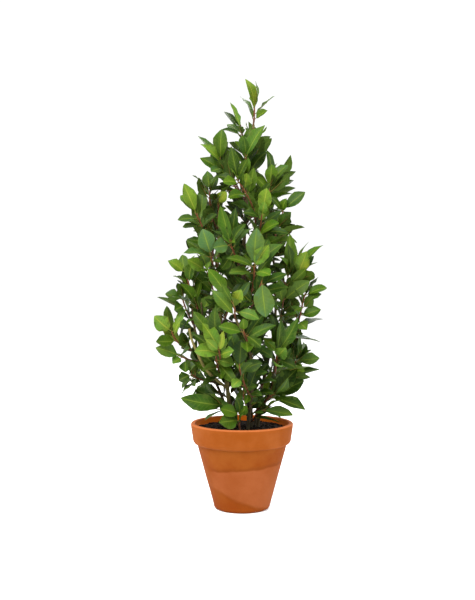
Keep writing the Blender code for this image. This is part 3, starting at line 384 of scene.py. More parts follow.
def leaf_material():
    """Veined leaf: colour by age and painted shade, painted sheen, midrib, side veins, margin,
    mottling and a pale underside.
    """
    g = Graph("bay_leaf")
    uv = g.node("ShaderNodeUVMap", {"uv_map": "surface"}).outputs[0]
    parts = g.node("ShaderNodeSeparateXYZ", None, Vector=uv)
    centred = g.math("SUBTRACT", parts.outputs[0], 0.5)
    across = g.math("MULTIPLY", g.math("ABSOLUTE", centred), 2.0)
    along = parts.outputs[1]
    place = g.place()
    age = g.attribute("age")
    sheen = g.attribute("bloom")
    under = g.attribute("under")
    coarse = g.noise(place, 38.0, 3.0)
    fine = g.noise(place, 420.0, 2.0)

    old_age = g.math("ADD", age, g.math("MULTIPLY", g.math("SUBTRACT", coarse, 0.5), 0.34))
    # The darkest stops of this ramp stand partly for painted shade: they darken the inner leaves
    # deep in the bush.
    blade = g.ramp(old_age, [(0.0, (0.25, 0.25, 0.018)), (1.0, (0.0025, 0.007, 0.0006)),
                             (0.22, (0.080, 0.150, 0.016)), (0.45, (0.043, 0.094, 0.004)),
                             (0.72, (0.012, 0.033, 0.0015))])
    # Painted sheen: grey-green mixed into the colour of some leaves, where their gloss would catch
    # the light.
    blade = g.mix(g.math("MULTIPLY", sheen, PAINTED_SHEEN_SHARE), blade, (0.048, 0.092, 0.028, 1.0))
    hue = g.smooth(g.noise(place, 17.0, 1.0), 0.35, 0.65)
    tint = g.mix(hue, (1.12, 1.0, 0.75, 1.0), (0.88, 1.0, 1.2, 1.0))
    blade = g.mix(1.0, blade, tint, "MULTIPLY")

    veins, midrib = leaf_veins(g, place, across, along)
    margin = g.smooth(across, 0.90, 1.0)

    pale = g.ramp(age, [(0.0, (0.28, 0.28, 0.035)), (1.0, (0.040, 0.066, 0.008)),
                        (0.5, (0.130, 0.185, 0.018))])
    heart = g.outside(g.smooth(across, 0.0, 0.55))
    colour = g.mix(g.math("MULTIPLY", heart, HEART_SHARE), blade, pale)
    colour = g.mix(g.math("MULTIPLY", veins, VEIN_SHARE), colour, pale)
    colour = g.mix(g.math("MULTIPLY", margin, MARGIN_SHARE), colour, pale)
    colour = g.mix(g.math("MULTIPLY", midrib, MIDRIB_SHARE), colour, pale)
    below = g.mix(0.6, colour, (0.045, 0.074, 0.010, 1.0))
    colour = g.mix(under, colour, below)
    shade = g.scaled(fine, 0.28, 0.86)
    colour = g.mix(1.0, colour, shade, "MULTIPLY")

    rough = g.scaled(fine, 0.10, 0.36)
    rough = g.math("ADD", rough, g.math("MULTIPLY", under, 0.22))
    rough = g.math("ADD", rough, g.math("MULTIPLY", veins, 0.05))
    height = g.math("MULTIPLY", veins, -0.35)
    height = g.math("ADD", height, g.math("MULTIPLY", midrib, -0.6))
    height = g.math("ADD", height, g.math("MULTIPLY", fine, 0.25))
    height = g.math("ADD", height, g.math("MULTIPLY", coarse, 0.35))
    return g.finish(colour, rough, height, depth=0.0006, strength=0.5, Specular_IOR_Level=0.07)


leaf_look = leaf_material()
print("leaf material with", len(leaf_look.node_tree.nodes), "nodes")


# %% Young wood material
def young_wood_material():
    """Twigs and stalks: green where young, red-brown higher up, olive grey where old."""
    g = Graph("young_wood")
    place = g.place()
    wood = g.attribute("wood")
    coarse = g.noise(place, 120.0, 3.0)
    fine = g.noise(place, 900.0, 2.0)
    ripe = g.math("ADD", wood, g.math("MULTIPLY", g.math("SUBTRACT", coarse, 0.5), 0.3))
    colour = g.ramp(ripe, [(0.0, (0.120, 0.130, 0.016)), (1.0, (0.048, 0.034, 0.015)),
                           (0.35, (0.115, 0.034, 0.013)), (0.7, (0.075, 0.025, 0.011))])
    shade = g.scaled(fine, 0.5, 0.75)
    colour = g.mix(1.0, colour, shade, "MULTIPLY")
    height = g.math("ADD", fine, g.math("MULTIPLY", coarse, 1.5))
    return g.finish(colour, 0.52, height, depth=0.0003, strength=0.5, Specular_IOR_Level=0.15)


twig_look = young_wood_material()
print("young wood material with", len(twig_look.node_tree.nodes), "nodes")

# %% [markdown]
# ## Reading the shoots
#
# Each shoot of the design is one closed body: a five-sided twig with three-sided leaves joined to
# it. To put fine leaves exactly there, their places are read back from that body. A leaf ends in
# a point that has only three neighbours, and behind it come three cross-sections of three points
# each: two edges and a keel. Walking from the tip towards the twig collects them. What is left
# over belongs to the twig, and a smooth curve is fitted through it.

# %% Points of a design body
WELD = 1e-5                    # points closer than this are one


def welded(node):
    """Points and triangles of a design body, with doubled points made one."""
    mesh = node.data
    points = np.empty(len(mesh.vertices) * 3)
    mesh.vertices.foreach_get("co", points)
    corners = np.empty(len(mesh.loops), int)
    mesh.loops.foreach_get("vertex_index", corners)
    points = points.reshape(-1, 3)
    keys = np.round(points / WELD).astype(np.int64)
    _, first, index = np.unique(keys, axis=0, return_index=True, return_inverse=True)
    return points[first], index.reshape(-1)[corners].reshape(-1, 3)


print("the soil's body has", len(welded(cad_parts["soil"])[0]), "points")


# %% Leaves of a design shoot
LEAF_LEAST = 0.015             # shorter than this is no leaf
SECTION = 3                    # points of a leaf's cross-section, and sections of a leaf


def read_shoot(node):
    """Find the leaves (tip, three cross-sections of three points) and the twig's own points."""
    points, triangles = welded(node)
    linked = np.zeros((len(points), len(points)), bool)
    for a, b in ((0, 1), (1, 2), (2, 0)):
        linked[triangles[:, a], triangles[:, b]] = True
        linked[triangles[:, b], triangles[:, a]] = True
    np.fill_diagonal(linked, False)
    leaves = []
    used = np.zeros(len(points), bool)
    for tip in np.flatnonzero(linked.sum(axis=1) == SECTION):
        seen = np.zeros(len(points), bool)
        seen[tip] = True
        layer = np.array([tip])
        sections = []
        for _ in range(SECTION):
            layer = np.flatnonzero(linked[layer].any(axis=0) & ~seen)
            seen[layer] = True
            sections.append(layer)
        if [len(layer) for layer in sections] != [SECTION] * SECTION:
            continue
        stalk_end = points[sections[2]].mean(axis=0)
        if np.linalg.norm(points[tip] - stalk_end) < LEAF_LEAST:
            continue
        leaves.append((points[tip], points[sections[2]], points[sections[1]], points[sections[0]]))
        used |= seen
    return leaves, points[~used]


# %% Line of a twig, and every shoot read
def fit_curve(points, degree, steps):
    """Smooth curve through scattered points: each coordinate is a polynomial of the distance
    along the line from the lower end to the far end."""
    middle = points.mean(axis=0)
    axis = np.linalg.svd(points - middle, full_matrices=False)[2][0]
    along = (points - middle) @ axis
    if np.linalg.norm(points[along.argmax()][:2]) < np.linalg.norm(points[along.argmin()][:2]):
        along = -along
    low, high = along.min(), along.max()
    places = np.linspace(low, high, steps)
    columns = [np.polyval(np.polyfit(along, points[:, c], degree), places) for c in range(3)]
    return np.stack(columns, axis=-1)


shoots = {}
for node_name, node in sorted(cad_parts.items()):
    if node_name.startswith("shoot_"):
        shoots[node_name] = read_shoot(node)
leaf_total = sum(len(found[0]) for found in shoots.values())
print("shoots", len(shoots), "leaves read", leaf_total)

# %% [markdown]
# ## Fine leaves
#
# A real bay leaf is a thin blade, folded a little along its midrib, arched from stalk to tip, with
# a rippled margin. It could be one flat outline bent by modifiers, but no two leaves are alike,
# so each is worked out as a surface of two parameters: s along the leaf and u across it. All the
# leaves of a shoot are computed at once, as arrays with one row for each leaf.

# %% Where each leaf lies and how it is turned
KEEL = 0.0008                  # the design's keel lies this far below its middle line


def leaf_frames(leaves):
    """Base, tip, length, half width and the three directions of each leaf, as arrays.

    The keel is the corner of a section that lies opposite its longest side. The base stands KEEL
    over the first keel, along runs from base to tip, and the normal points from keel to edges.
    """
    tips = np.array([leaf[0] for leaf in leaves])
    sections = np.array([leaf[1:] for leaf in leaves])
    sides = np.linalg.norm(sections - np.roll(sections, -1, axis=2), axis=-1)
    longest = sides.argmax(axis=2)
    pick = np.arange(SECTION)[None, None, :] == ((longest + 2) % SECTION)[..., None]
    keels = sections[pick].reshape(len(leaves), 3, 3)
    edges = sections[~pick].reshape(len(leaves), 3, 2, 3)
    upward = unit(edges.mean(axis=2) - keels)
    bases = keels[:, 0] + upward[:, 0] * KEEL
    reach = tips - bases
    length = np.linalg.norm(reach, axis=1)
    along = reach / length[:, None]
    normal = upward[:, 1] - along * np.sum(upward[:, 1] * along, axis=1, keepdims=True)
    normal = unit(normal)
    half = np.linalg.norm(edges[:, 1, 0] - edges[:, 1, 1], axis=1) / 2.0
    return bases, tips, length, half, along, np.cross(along, normal), normal


first_leaves = next(iter(shoots.values()))[0]
print("the first shoot's leaves, mm", np.round(leaf_frames(first_leaves)[2] * 1000.0))


# %% Surface of a blade
LEAF_RINGS = 7                 # cross-sections between the stalk end and the tip
LEAF_THICKNESS = 0.0004
ACROSS = np.array([-1.0, -0.5, 0.0, 0.5, 1.0, 0.5, 0.0, -0.5])   # round a section, edge to edge
UPPER = np.array([0, 1, 1, 1, 0, -1, -1, -1])                    # upper face, lower face, edge
WEDGE = 0.95                   # how the width grows from the stalk end
TWIST_CENTRE = 0.3             # where along a leaf its section isn't turned
EDGE_RIPPLE = 0.065            # how far the margin's waves go in and out, in half widths
MARGIN_LAG = 1.9               # radians; one margin's waves run twice this ahead of the other's


def blade_width(s, taper):
    """Half width of a blade along its length, as a share of the widest.

    The width goes as s^WEDGE (1 - s)^taper. It is widest at w = WEDGE / (WEDGE + taper), and is
    divided by its value there. A taper of 0.8 gives a blunter end, 1.1 an acute one.
    """
    w = WEDGE / (WEDGE + taper)
    return (s / w) ** WEDGE * ((1.0 - s) / (1.0 - w)) ** taper


print("half width near the tip", np.round(blade_width(0.9, np.array([0.8, 1.1])), 2))


def leaf_points(frames, habit):
    """Points of every leaf: rings of eight round the blade, then the two end points.

    Middle line: base + along * L s + normal * L * arch * 4 s (1 - s) + across * L * sickle *
    4 s (1 - s). Half width: blade_width(s). A point at u stands off the middle by u times the half
    width, rises by fold * |u|^0.8 * width and ripples by sin(waves s + phase) * u^2; the section
    turns about the middle line by twist * (s - TWIST_CENTRE).
    """
    bases, _, length, half, along, across, normal = frames
    count = len(bases)
    even = np.arange(1, LEAF_RINGS + 1) / (LEAF_RINGS + 1)
    s = 0.4 * even + 0.6 * (0.5 - 0.5 * np.cos(math.pi * even))
    bow = (4.0 * s * (1.0 - s))[None, :, None]
    size = length[:, None, None]
    middle = bases[:, None] + along[:, None] * size * s[None, :, None]
    middle = middle + normal[:, None] * size * habit["arch"][:, None, None] * bow
    middle = middle + across[:, None] * size * habit["sickle"][:, None, None] * bow
    turn = habit["twist"][:, None] * (s[None] - TWIST_CENTRE)
    over = across[:, None] * np.cos(turn)[..., None] + normal[:, None] * np.sin(turn)[..., None]
    out = normal[:, None] * np.cos(turn)[..., None] - across[:, None] * np.sin(turn)[..., None]
    wide = half[:, None] * blade_width(s[None], habit["taper"][:, None])
    u = ACROSS[None, None]
    phase = habit["phase"][:, None, None] + MARGIN_LAG * np.sign(u)
    ripple = np.sin(habit["waves"][:, None, None] * s[None, :, None] + phase)
    edge_in = 1.0 + EDGE_RIPPLE * ripple * np.abs(u)
    rise = habit["fold"][:, None, None] * np.abs(u) ** 0.8
    rise = rise + habit["ripple"][:, None, None] * ripple * u ** 2
    thick = UPPER[None, None] * LEAF_THICKNESS / 2.0
    ring = middle[:, :, None] + over[:, :, None] * (u * wide[..., None] * edge_in)[..., None]
    ring = ring + out[:, :, None] * (rise * wide[..., None] + thick)[..., None]
    ends = np.stack([bases, frames[1]], axis=1)
    return np.concatenate([ring.reshape(count, -1, 3), ends], axis=1), s


# %% A few points of each leaf
MEAN_TAPER = 0.95


def leaf_samples(frames):
    """Nine points of each leaf: three places along it, on its midrib and towards both edges."""
    bases, _, length, half, along, across, _ = frames
    s = np.array([0.25, 0.58, 0.92])[None, :, None, None]
    u = np.array([-0.7, 0.0, 0.7])[None, None, :, None]
    size = length[:, None, None, None]
    sideways = half[:, None, None, None] * u * blade_width(s, MEAN_TAPER)
    points = bases[:, None, None] + along[:, None, None] * size * s
    return (points + across[:, None, None] * sideways).reshape(-1, 3)


print("points to sample on each leaf", leaf_samples(leaf_frames(first_leaves[:1])).shape[0])

# %% Faces of a blade, and where they lie on it
BLADE_QUADS, BLADE_FANS = ring_faces(LEAF_RINGS, len(ACROSS))
LOWER_START = 5                # points of a ring from here on lie on the lower side


def blade_uv(s):
    """UV of one blade's corners: across from 0 to 1, along from 0 to 1."""
    column = (ACROSS + 1.0) / 2.0
    ring, k = np.divmod(BLADE_QUADS, len(ACROSS))
    quad_uv = np.stack([column[k], s[ring]], axis=-1)
    fan_k = BLADE_FANS[:, :2] % len(ACROSS)
    fan_column = column[fan_k]
    pole = np.where(np.any(fan_column == 0.5, axis=1), 0.5, fan_column.mean(axis=1))
    near_end = np.arange(len(BLADE_FANS)) >= len(ACROSS)
    fan_u = np.concatenate([fan_column, pole[:, None]], axis=1)
    ring_v = np.where(near_end, s[-1], s[0])[:, None]
    fan_v = np.concatenate([ring_v, ring_v, near_end[:, None].astype(float)], axis=1)
    return quad_uv, np.stack([fan_u, fan_v], axis=-1)


def is_under(faces):
    """1 for a face on the leaf's lower side, whose points lie after the far edge."""
    k = np.sort(faces % len(ACROSS), axis=1)
    return (k[:, -1] >= LOWER_START).astype(float)


print("faces of a blade", len(BLADE_QUADS) + len(BLADE_FANS), "of them below",
      int(is_under(BLADE_QUADS).sum() + is_under(BLADE_FANS).sum()))


# %% [markdown]
# ## Stalks, twigs and buds
#
# A bay leaf hangs on a short reddish stalk that runs on under the blade as its midrib, and a twig
# is a thin rod, a little thicker at each leaf, with a pointed bud at its end. Curves with a bevel
# would do, but here both are rings carried along a line, with a radius for each ring, so that
# they join the leaves in one mesh.

# %% A smooth line
def smooth_line(points, steps):
    """A curve through the points (n, 3), evenly spaced: cubic Hermite spans with the slope at a
    point taken from its two neighbours."""
    gaps = np.linalg.norm(np.diff(points, axis=0), axis=1)
    where = np.concatenate([[0.0], np.cumsum(gaps)])
    slope = np.gradient(points, where, axis=0)
    t = np.linspace(0.0, where[-1], steps)
    i = np.clip(np.searchsorted(where, t, side="right") - 1, 0, len(gaps) - 1)
    h = gaps[i]
    x = ((t - where[i]) / h)[:, None]
    h = h[:, None]
    return (points[i] * (1 + 2 * x) * (1 - x) ** 2 + slope[i] * h * x * (1 - x) ** 2
            + points[i + 1] * x * x * (3 - 2 * x) + slope[i + 1] * h * x * x * (x - 1))


# %% Tubes along a line
def tube_points(lines, radii, sides):
    """Rings round many lines at once: lines (bodies, rings, 3), radii (bodies, rings, sides).

    The first direction of each ring is square to the line and to one fixed direction, so rings
    do not turn against each other; the two end points close the tube.
    """
    tangent = unit(np.gradient(lines, axis=1))
    mean = unit(lines[:, -1] - lines[:, 0])
    least = np.abs(mean).argmin(axis=1)
    fixed = np.eye(3)[least][:, None]
    first = unit(np.cross(tangent, np.broadcast_to(fixed, tangent.shape)))
    second = np.cross(tangent, first)
    angle = 2.0 * math.pi * np.arange(sides) / sides
    ring = (first[:, :, None] * np.cos(angle)[None, None, :, None]
            + second[:, :, None] * np.sin(angle)[None, None, :, None])
    ring = lines[:, :, None] + ring * radii[..., None]
    ends = np.stack([lines[:, 0], lines[:, -1]], axis=1)
    return np.concatenate([ring.reshape(len(lines), -1, 3), ends], axis=1)


def tube_uv(rings, sides):
    """UV of a tube's corners: once round is 0 to 1, and the whole length is 0 to 1."""
    quads, fans = ring_faces(rings, sides)
    ring, k = np.divmod(quads, sides)
    quad_u = k / sides
    quad_u[:, 1:3] = np.where(quad_u[:, 1:3] == 0.0, 1.0, quad_u[:, 1:3])
    quad_uv = np.stack([quad_u, ring / (rings - 1)], axis=-1)
    fan_u = np.concatenate([fans[:, :2] % sides / sides, fans[:, :1] % sides / sides], axis=1)
    late = (np.arange(len(fans)) >= sides)[:, None].astype(float)
    return quads, fans, quad_uv, np.stack([fan_u, np.repeat(late, 3, axis=1)], axis=-1)


print("faces of a tube of four rings of five", sum(len(faces) for faces in tube_uv(4, 5)[:2]))

# %% Stalks
STALK_SIDES = 5
STALK_PLACES = np.array([0.12, 0.60])           # where the midrib's rings lie on the blade
STALK_RADII = np.array([0.00090, 0.00080, 0.00065, 0.00030])
STALK_RINGS = len(STALK_RADII)
STALK_BACK = 0.004             # a stalk comes from the twig's point nearest to this far back
BLADE_SINK = 0.0003            # it meets the blade this far below its middle line
RIB_SINK = 0.9                 # and the midrib hangs below it by this share of its radius


def stalk_roots(frames, twig_line):
    """The twig's point that each leaf's stalk comes from."""
    bases, along = frames[0], frames[4]
    gap = np.linalg.norm(bases[:, None] - along[:, None] * STALK_BACK - twig_line[None], axis=-1)
    return twig_line[gap.argmin(axis=1)]


def stalk_lines(frames, habit, roots):
    """Line of each stalk: from its root to the blade, and on below the blade as its midrib."""
    bases, _, length, _, along, across, normal = frames
    s = STALK_PLACES[None, :, None]
    bow = 4.0 * s * (1.0 - s)
    size = length[:, None, None]
    below = bases[:, None] + along[:, None] * size * s
    below = below + normal[:, None] * size * habit["arch"][:, None, None] * bow
    below = below + across[:, None] * size * habit["sickle"][:, None, None] * bow
    below = below - normal[:, None] * (STALK_RADII[2:][None, :, None] * RIB_SINK)
    under_base = bases - normal * BLADE_SINK
    return np.concatenate([roots[:, None], under_base[:, None], below], axis=1)


# %% [markdown]
# ## How old each leaf is
#
# On a bay the youngest leaves, at the ends of the shoots, are light yellow-green, and the old ones
# further in are dark; the darkest ages also stand for painted shade. Some get a painted sheen:
# grey-green mixed into their colour. The ages could be random, but this plant has its own light
# and yellow shoots, so each shoot gets a base age, and leaves near its end are younger; a few
# leaves are named by where their tip lies.

# %% Base age of each shoot
SHOOT_AGE = {
    "shoot_top": 0.50, "shoot_top_left": 0.62, "shoot_upper_mid": 0.68, "shoot_upper_left": 0.66,
    "shoot_upper_right": 0.62, "shoot_arch": 0.55, "shoot_mid_right_top": 0.45,
    "shoot_right_upper": 0.62, "shoot_left_upper": 0.60, "shoot_left_top": 0.66,
    "shoot_inner_left": 0.35, "shoot_left_grey": 0.60, "shoot_centre_left": 0.66,
    "shoot_centre": 0.60, "shoot_centre_low": 0.42, "shoot_centre_inner": 0.72,
    "shoot_left_mid": 0.60, "shoot_left_edge_mid": 0.62, "shoot_left_mid_up": 0.50,
    "shoot_left_low_a": 0.66, "shoot_left_bright": 0.30, "shoot_left_low_b": 0.50,
    "shoot_left_bottom": 0.70, "shoot_yellow": 0.36, "shoot_front_low": 0.66,
    "shoot_dark_centre": 0.80, "shoot_centre_low_right": 0.62, "shoot_right_mid_low": 0.50,
    "shoot_right_edge_low": 0.66, "shoot_right_edge_mid": 0.66, "shoot_right_mid": 0.66,
    "shoot_right_bright": 0.45, "shoot_bottom_left": 0.50, "shoot_bottom_front": 0.55,
    "shoot_bottom_centre": 0.72, "shoot_bottom_right": 0.82, "shoot_rim_right": 0.55,
}
BACK_AGE = 0.66
print("ages given for", len(SHOOT_AGE), "of", len(shoots), "shoots")

# %% Leaves with an age of their own
# Leaves that stand out: the tip's x and its height over the soil as seen from the front, in cm,
# then age (which also carries painted shade) and painted sheen.
SPECIAL_LEAVES = [
    (0.6, 69.9, 0.2, 0.2), (3, 68.7, 0.4, 0), (-2.5, 65.4, 0.26, 0.1), (0.5, 64.9, 0.6, 0.7),
    (4.6, 60.8, 0.5, 0.2), (-4, 60, 0.62, 0.1), (-8.9, 58.7, 0.6, 0.5), (-8.3, 56.8, 0.33, 0),
    (-6.2, 51.5, 0.6, 0.6), (9.2, 52.8, 0.6, 0.6), (7.2, 53.4, 0.22, 0), (-2.4, 52.6, 0.3, 0),
    (0.9, 51.3, 0.3, 0.1), (0.9, 53.7, 0.3, 0), (4.9, 48.3, 0.3, 0.1), (4.5, 45.7, 0.3, 0),
    (-11.6, 49.2, 0.32, 0), (-7.8, 48.6, 0.6, 0.7), (-3.1, 47.6, 0.18, 0), (-7.9, 40.2, 0.6, 1),
    (-11.8, 35.3, 0.5, 0.5), (-5.8, 36.4, 0.6, 0.8), (-3.5, 40.7, 0.33, 0), (2.9, 40.4, 0.6, 0.9),
    (5.3, 37, 0.3, 0), (8.1, 37.1, 0.6, 0.5), (5.6, 30.9, 0.4, 0), (-0.2, 28.1, 0.2, 0),
    (4.7, 22.5, 0.62, 1), (-14.9, 33.8, 0.3, 0), (-12, 35, 0.6, 0.5), (-5.6, 27, 0.5, 0.5),
    (-11, 34.1, 0.36, 0), (-8.3, 35.1, 0.6, 0.6), (-15.4, 27.1, 0.6, 0.6), (-17.6, 22.7, 0.22, 0),
    (-11, 24.3, 0.3, 0), (-12.2, 21.8, 0.25, 0), (-17.3, 17.5, 0.6, 0), (-17.4, 16.3, 0.5, 0.5),
    (-8, 21.3, 0.34, 0), (-6.9, 18.6, 0.16, 0), (-3.7, 19.7, 0.12, 0), (-9.6, 15.6, 0.32, 0),
    (-1.6, 15.8, 0.28, 0), (-0.1, 18, 0.9, 0.3), (-2.1, 8.3, 0.3, 0), (8.8, 16.4, 0.33, 0.2),
    (4.1, 18.4, 0.36, 0), (9.4, 20.2, 0.4, 0.2), (12.6, 11.5, 0.45, 0), (15.6, 14.2, 0.6, 0.5),
    (10.3, 18.9, 0.6, 0.7), (13, 19.9, 0.42, 0), (13.6, 29.7, 0.55, 0.8), (12.1, 24.3, 0.4, 0),
    (12.9, 35.7, 0.2, 0), (14.4, 34.7, 0.6, 0.6), (-12.4, 6.2, 0.64, 0), (-9.2, 3.6, 0.66, 0),
    (-4.7, 1.2, 0.62, 0), (-4.3, 4, 0.5, 0), (11.1, 12.1, 0.82, 0), (12.5, 9.7, 0.85, 0),
    (12.8, 3.7, 0.7, 0), (6.4, 11.8, 0.4, 0), (10.3, 2.6, 0.5, 0.6),
]
SEEN_WITHIN = 0.9              # cm, how near a tip must show to be the named leaf
soil_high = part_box("soil")[1]
SOIL_LEVEL = soil_high.z
print("leaves with an age of their own", len(SPECIAL_LEAVES))


# %% Age of each leaf
END_YOUNGER = 0.16             # how much younger the last leaf of a shoot is than the first
FAR_SIDE = 0.04                # tips behind this y are hidden from the front


def seen_from_front(points):
    """Where points show from the front: x and height over the soil, in cm, on the plane through
    the plant's middle."""
    nearer = 1.0 + points[:, 1] / eye_distance
    height = EYE[2] + (points[:, 2] - EYE[2]) / nearer - SOIL_LEVEL
    return np.stack([points[:, 0] / nearer, height], axis=1) * 100.0


def leaf_ages(name, frames, twig_line):
    """Age, which also sets painted shade, and painted sheen of each leaf of a shoot."""
    bases, tips = frames[0], frames[1]
    place = np.linalg.norm(bases[:, None] - twig_line[None], axis=-1).argmin(axis=1)
    place = place / (len(twig_line) - 1)
    age = SHOOT_AGE.get(name, BACK_AGE) + 0.10 - END_YOUNGER * place
    age = age + rng.uniform(-0.10, 0.10, len(tips))
    bloom = np.clip(rng.uniform(-0.5, 0.45, len(tips)), 0.0, 1.0)
    if not name.startswith("shoot_back"):
        special = np.array(SPECIAL_LEAVES)
        seen = seen_from_front(tips)
        gap = np.linalg.norm(special[:, None, :2] - seen[None], axis=-1)
        gap[:, tips[:, 1] > FAR_SIDE] = np.inf
        for row, leaf in enumerate(gap.argmin(axis=1)):
            if gap[row, leaf] < SEEN_WITHIN:
                age[leaf], bloom[leaf] = special[row, 2:]
    return np.clip(age, 0.02, 1.0), bloom


# %% Habit of the leaves, and numbers stored on faces
TAGS = ["age", "bloom", "under", "wood", "cut", "slot"]


def habit_of(count):
    """The bend, fold, ripple and twist of each leaf, drawn at random within what bay leaves do."""
    return {
        "arch": rng.uniform(0.02, 0.13, count), "sickle": rng.uniform(-0.04, 0.04, count),
        "twist": rng.uniform(-0.5, 0.5, count), "fold": rng.uniform(0.10, 0.50, count),
        "ripple": rng.uniform(0.04, 0.24, count), "waves": rng.uniform(9.0, 17.0, count),
        "phase": rng.uniform(0.0, 6.28, count), "taper": rng.uniform(0.80, 1.10, count),
    }


def tags_for(bodies, faces, **values):
    """Face attributes (bodies, faces, tags); a value is one number or one for each body/face."""
    tags = np.zeros((bodies, faces, len(TAGS)))
    for key, value in values.items():
        tags[:, :, TAGS.index(key)] = value
    return tags


# %% Add tubes and leaves to a mesh
def add_tube(parts, line, radii, wood, cut_end=0.0, slot=1.0):
    """Add one tube to a mesh; wood is its age along the line and cut_end marks a sawn end."""
    rings, sides = radii.shape
    quads, fans, quad_uv, fan_uv = tube_uv(rings, sides)
    points = tube_points(line[None], radii[None], sides)
    quad_wood = wood[quads[:, 0] // sides]
    quad_tags = tags_for(1, len(quads), wood=quad_wood[None], slot=slot)
    fan_wood = np.where(np.arange(len(fans)) >= sides, wood[-1], wood[0])
    fan_cut = np.where(np.arange(len(fans)) >= sides, cut_end, 0.0)
    fan_tags = tags_for(1, len(fans), wood=fan_wood[None], cut=fan_cut[None], slot=slot)
    parts.add(points, quads, fans, quad_uv, fan_uv, quad_tags, fan_tags)


def add_leaves(parts, frames, roots, age, bloom):
    """Add leaves to a mesh: their blades, and their stalks from the given roots."""
    count = len(roots)
    habit = habit_of(count)
    points, s = leaf_points(frames, habit)
    quad_uv, fan_uv = blade_uv(s)
    quad_tags = tags_for(count, len(BLADE_QUADS), age=age[:, None], bloom=bloom[:, None],
                         under=is_under(BLADE_QUADS)[None])
    fan_tags = tags_for(count, len(BLADE_FANS), age=age[:, None], bloom=bloom[:, None],
                        under=is_under(BLADE_FANS)[None])
    parts.add(points, BLADE_QUADS, BLADE_FANS, quad_uv, fan_uv, quad_tags, fan_tags)

    stalks = stalk_lines(frames, habit, roots)
    radii = np.broadcast_to(STALK_RADII[None, :, None], (count, STALK_RINGS, STALK_SIDES))
    quads, fans, quad_uv, fan_uv = tube_uv(STALK_RINGS, STALK_SIDES)
    stalk_wood = np.clip(age * 0.5 - 0.12, 0.0, 0.4)[:, None]
    parts.add(tube_points(stalks, radii, STALK_SIDES), quads, fans, quad_uv, fan_uv,
              tags_for(count, len(quads), wood=stalk_wood, slot=1.0),
              tags_for(count, len(fans), wood=stalk_wood, slot=1.0))


# %% From parts to a piece of the frame
def finish_piece(parts, name, materials, slot, *nodes):
    """Build the mesh, let it ride on the pot's body, and hide the design bodies it replaces."""
    slots = TAGS.index("slot") if len(materials) > 1 else None
    piece = parts.build(name, TAGS, materials, slots)
    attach(piece, ROOT_BODY)
    if nodes:
        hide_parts(*nodes)
    return len(piece.data.polygons)


# %% Grow every shoot
TWIG_RINGS = 26
TWIG_SIDES = 8
TWIG_BASE_RADIUS = 0.0019
TWIG_END_RADIUS = 0.0012
TWIG_REACH_BACK = 0.004        # a twig starts this far inside its stem
BUD_START = 0.93               # share of a twig after which its bud narrows
JOINT_SWELL = 0.22             # how much thicker a twig is where a leaf joins it
JOINT_REACH = 0.003
CUT_SHOOTS = ("shoot_right_edge_mid",)


def grow_shoot(name, leaves, twig_cloud):
    """One leafy shoot: blades, stalks and twig in one mesh with two materials."""
    line = fit_curve(twig_cloud, 3, TWIG_RINGS)
    start_way = unit(line[0] - line[1])
    line = np.concatenate([(line[0] + start_way * TWIG_REACH_BACK)[None], line])
    frames = leaf_frames(leaves)
    roots = stalk_roots(frames, line)
    age, bloom = leaf_ages(name, frames, line)
    parts = MeshParts()
    add_leaves(parts, frames, roots, age, bloom)
    wood_points.append(line)
    leaf_spots.append(leaf_samples(frames))

    share = np.linspace(0.0, 1.0, len(line))
    radius = TWIG_BASE_RADIUS + (TWIG_END_RADIUS - TWIG_BASE_RADIUS) * share
    joints = np.linalg.norm(line[:, None] - roots[None], axis=-1).min(axis=1)
    radius = radius * (1.0 + JOINT_SWELL * np.exp(-(joints / JOINT_REACH) ** 2))
    is_cut = name in CUT_SHOOTS
    if not is_cut:
        bud = np.sqrt((1.0 - share) / 0.07 + 0.02)
        radius = radius * np.where(share > BUD_START, bud, 1.0)
    radii = np.repeat(radius[:, None], TWIG_SIDES, axis=1)
    radii = radii * (1.0 + 0.05 * rng.uniform(-1.0, 1.0, radii.shape))
    wood = np.clip(0.85 - 0.55 * share, 0.0, 1.0)
    add_tube(parts, line, radii, wood, 1.0 if is_cut else 0.0)
    looks = [leaf_look, twig_look]
    return finish_piece(parts, name.replace("shoot", "sprig"), looks, "leaf", name)


wood_points = []
leaf_spots = []
face_total = sum(grow_shoot(name, *found) for name, found in shoots.items())
print("grown", len(shoots), "shoots with", face_total, "faces")

# %% [markdown]
# ## Woody stems
#
# The stems rise from the soil in slow bends, olive to grey-brown, with small rings where leaves
# once sat. The design has them as eight-sided tubes. Subdividing those would keep their corners,
# so the middle line is read back from the rings of eight and a finer tube is laid along it, with
# bumps from noise.


# %% Bark material
def bark_material():
    """Grey-brown to olive bark with fine cracks, pale pores and a light colour on sawn ends."""
    g = Graph("bark")
    place = g.place()
    stretched = g.node("ShaderNodeMapping", None, Vector=place, Scale=(1.0, 1.0, 0.25)).outputs[0]
    wood = g.attribute("wood")
    cut = g.attribute("cut")
    coarse = g.noise(place, 55.0, 4.0)
    streak = g.noise(stretched, 420.0, 3.0)
    pores = g.smooth(g.noise(place, 520.0, 1.0), 0.66, 0.74)
    ripe = g.math("ADD", wood, g.math("MULTIPLY", g.math("SUBTRACT", coarse, 0.5), 0.6))
    colour = g.ramp(ripe, [(0.0, (0.140, 0.120, 0.036)), (1.0, (0.026, 0.023, 0.013)),
                           (0.45, (0.060, 0.045, 0.017))])
    shade = g.scaled(streak, 0.9, 0.55)
    colour = g.mix(1.0, colour, shade, "MULTIPLY")
    colour = g.mix(g.math("MULTIPLY", pores, 0.5), colour, (0.13, 0.11, 0.07, 1.0))
    colour = g.mix(cut, colour, (0.36, 0.20, 0.085, 1.0))
    height = g.math("ADD", streak, g.math("MULTIPLY", coarse, 0.8))
    height = g.math("ADD", height, g.math("MULTIPLY", pores, 0.6))
    return g.finish(colour, 0.72, height, depth=0.0008, strength=0.6, Specular_IOR_Level=0.12)


bark_look = bark_material()
print("bark material with", len(bark_look.node_tree.nodes), "nodes")

# %% Line of a design stem
DESIGN_SIDES = 8


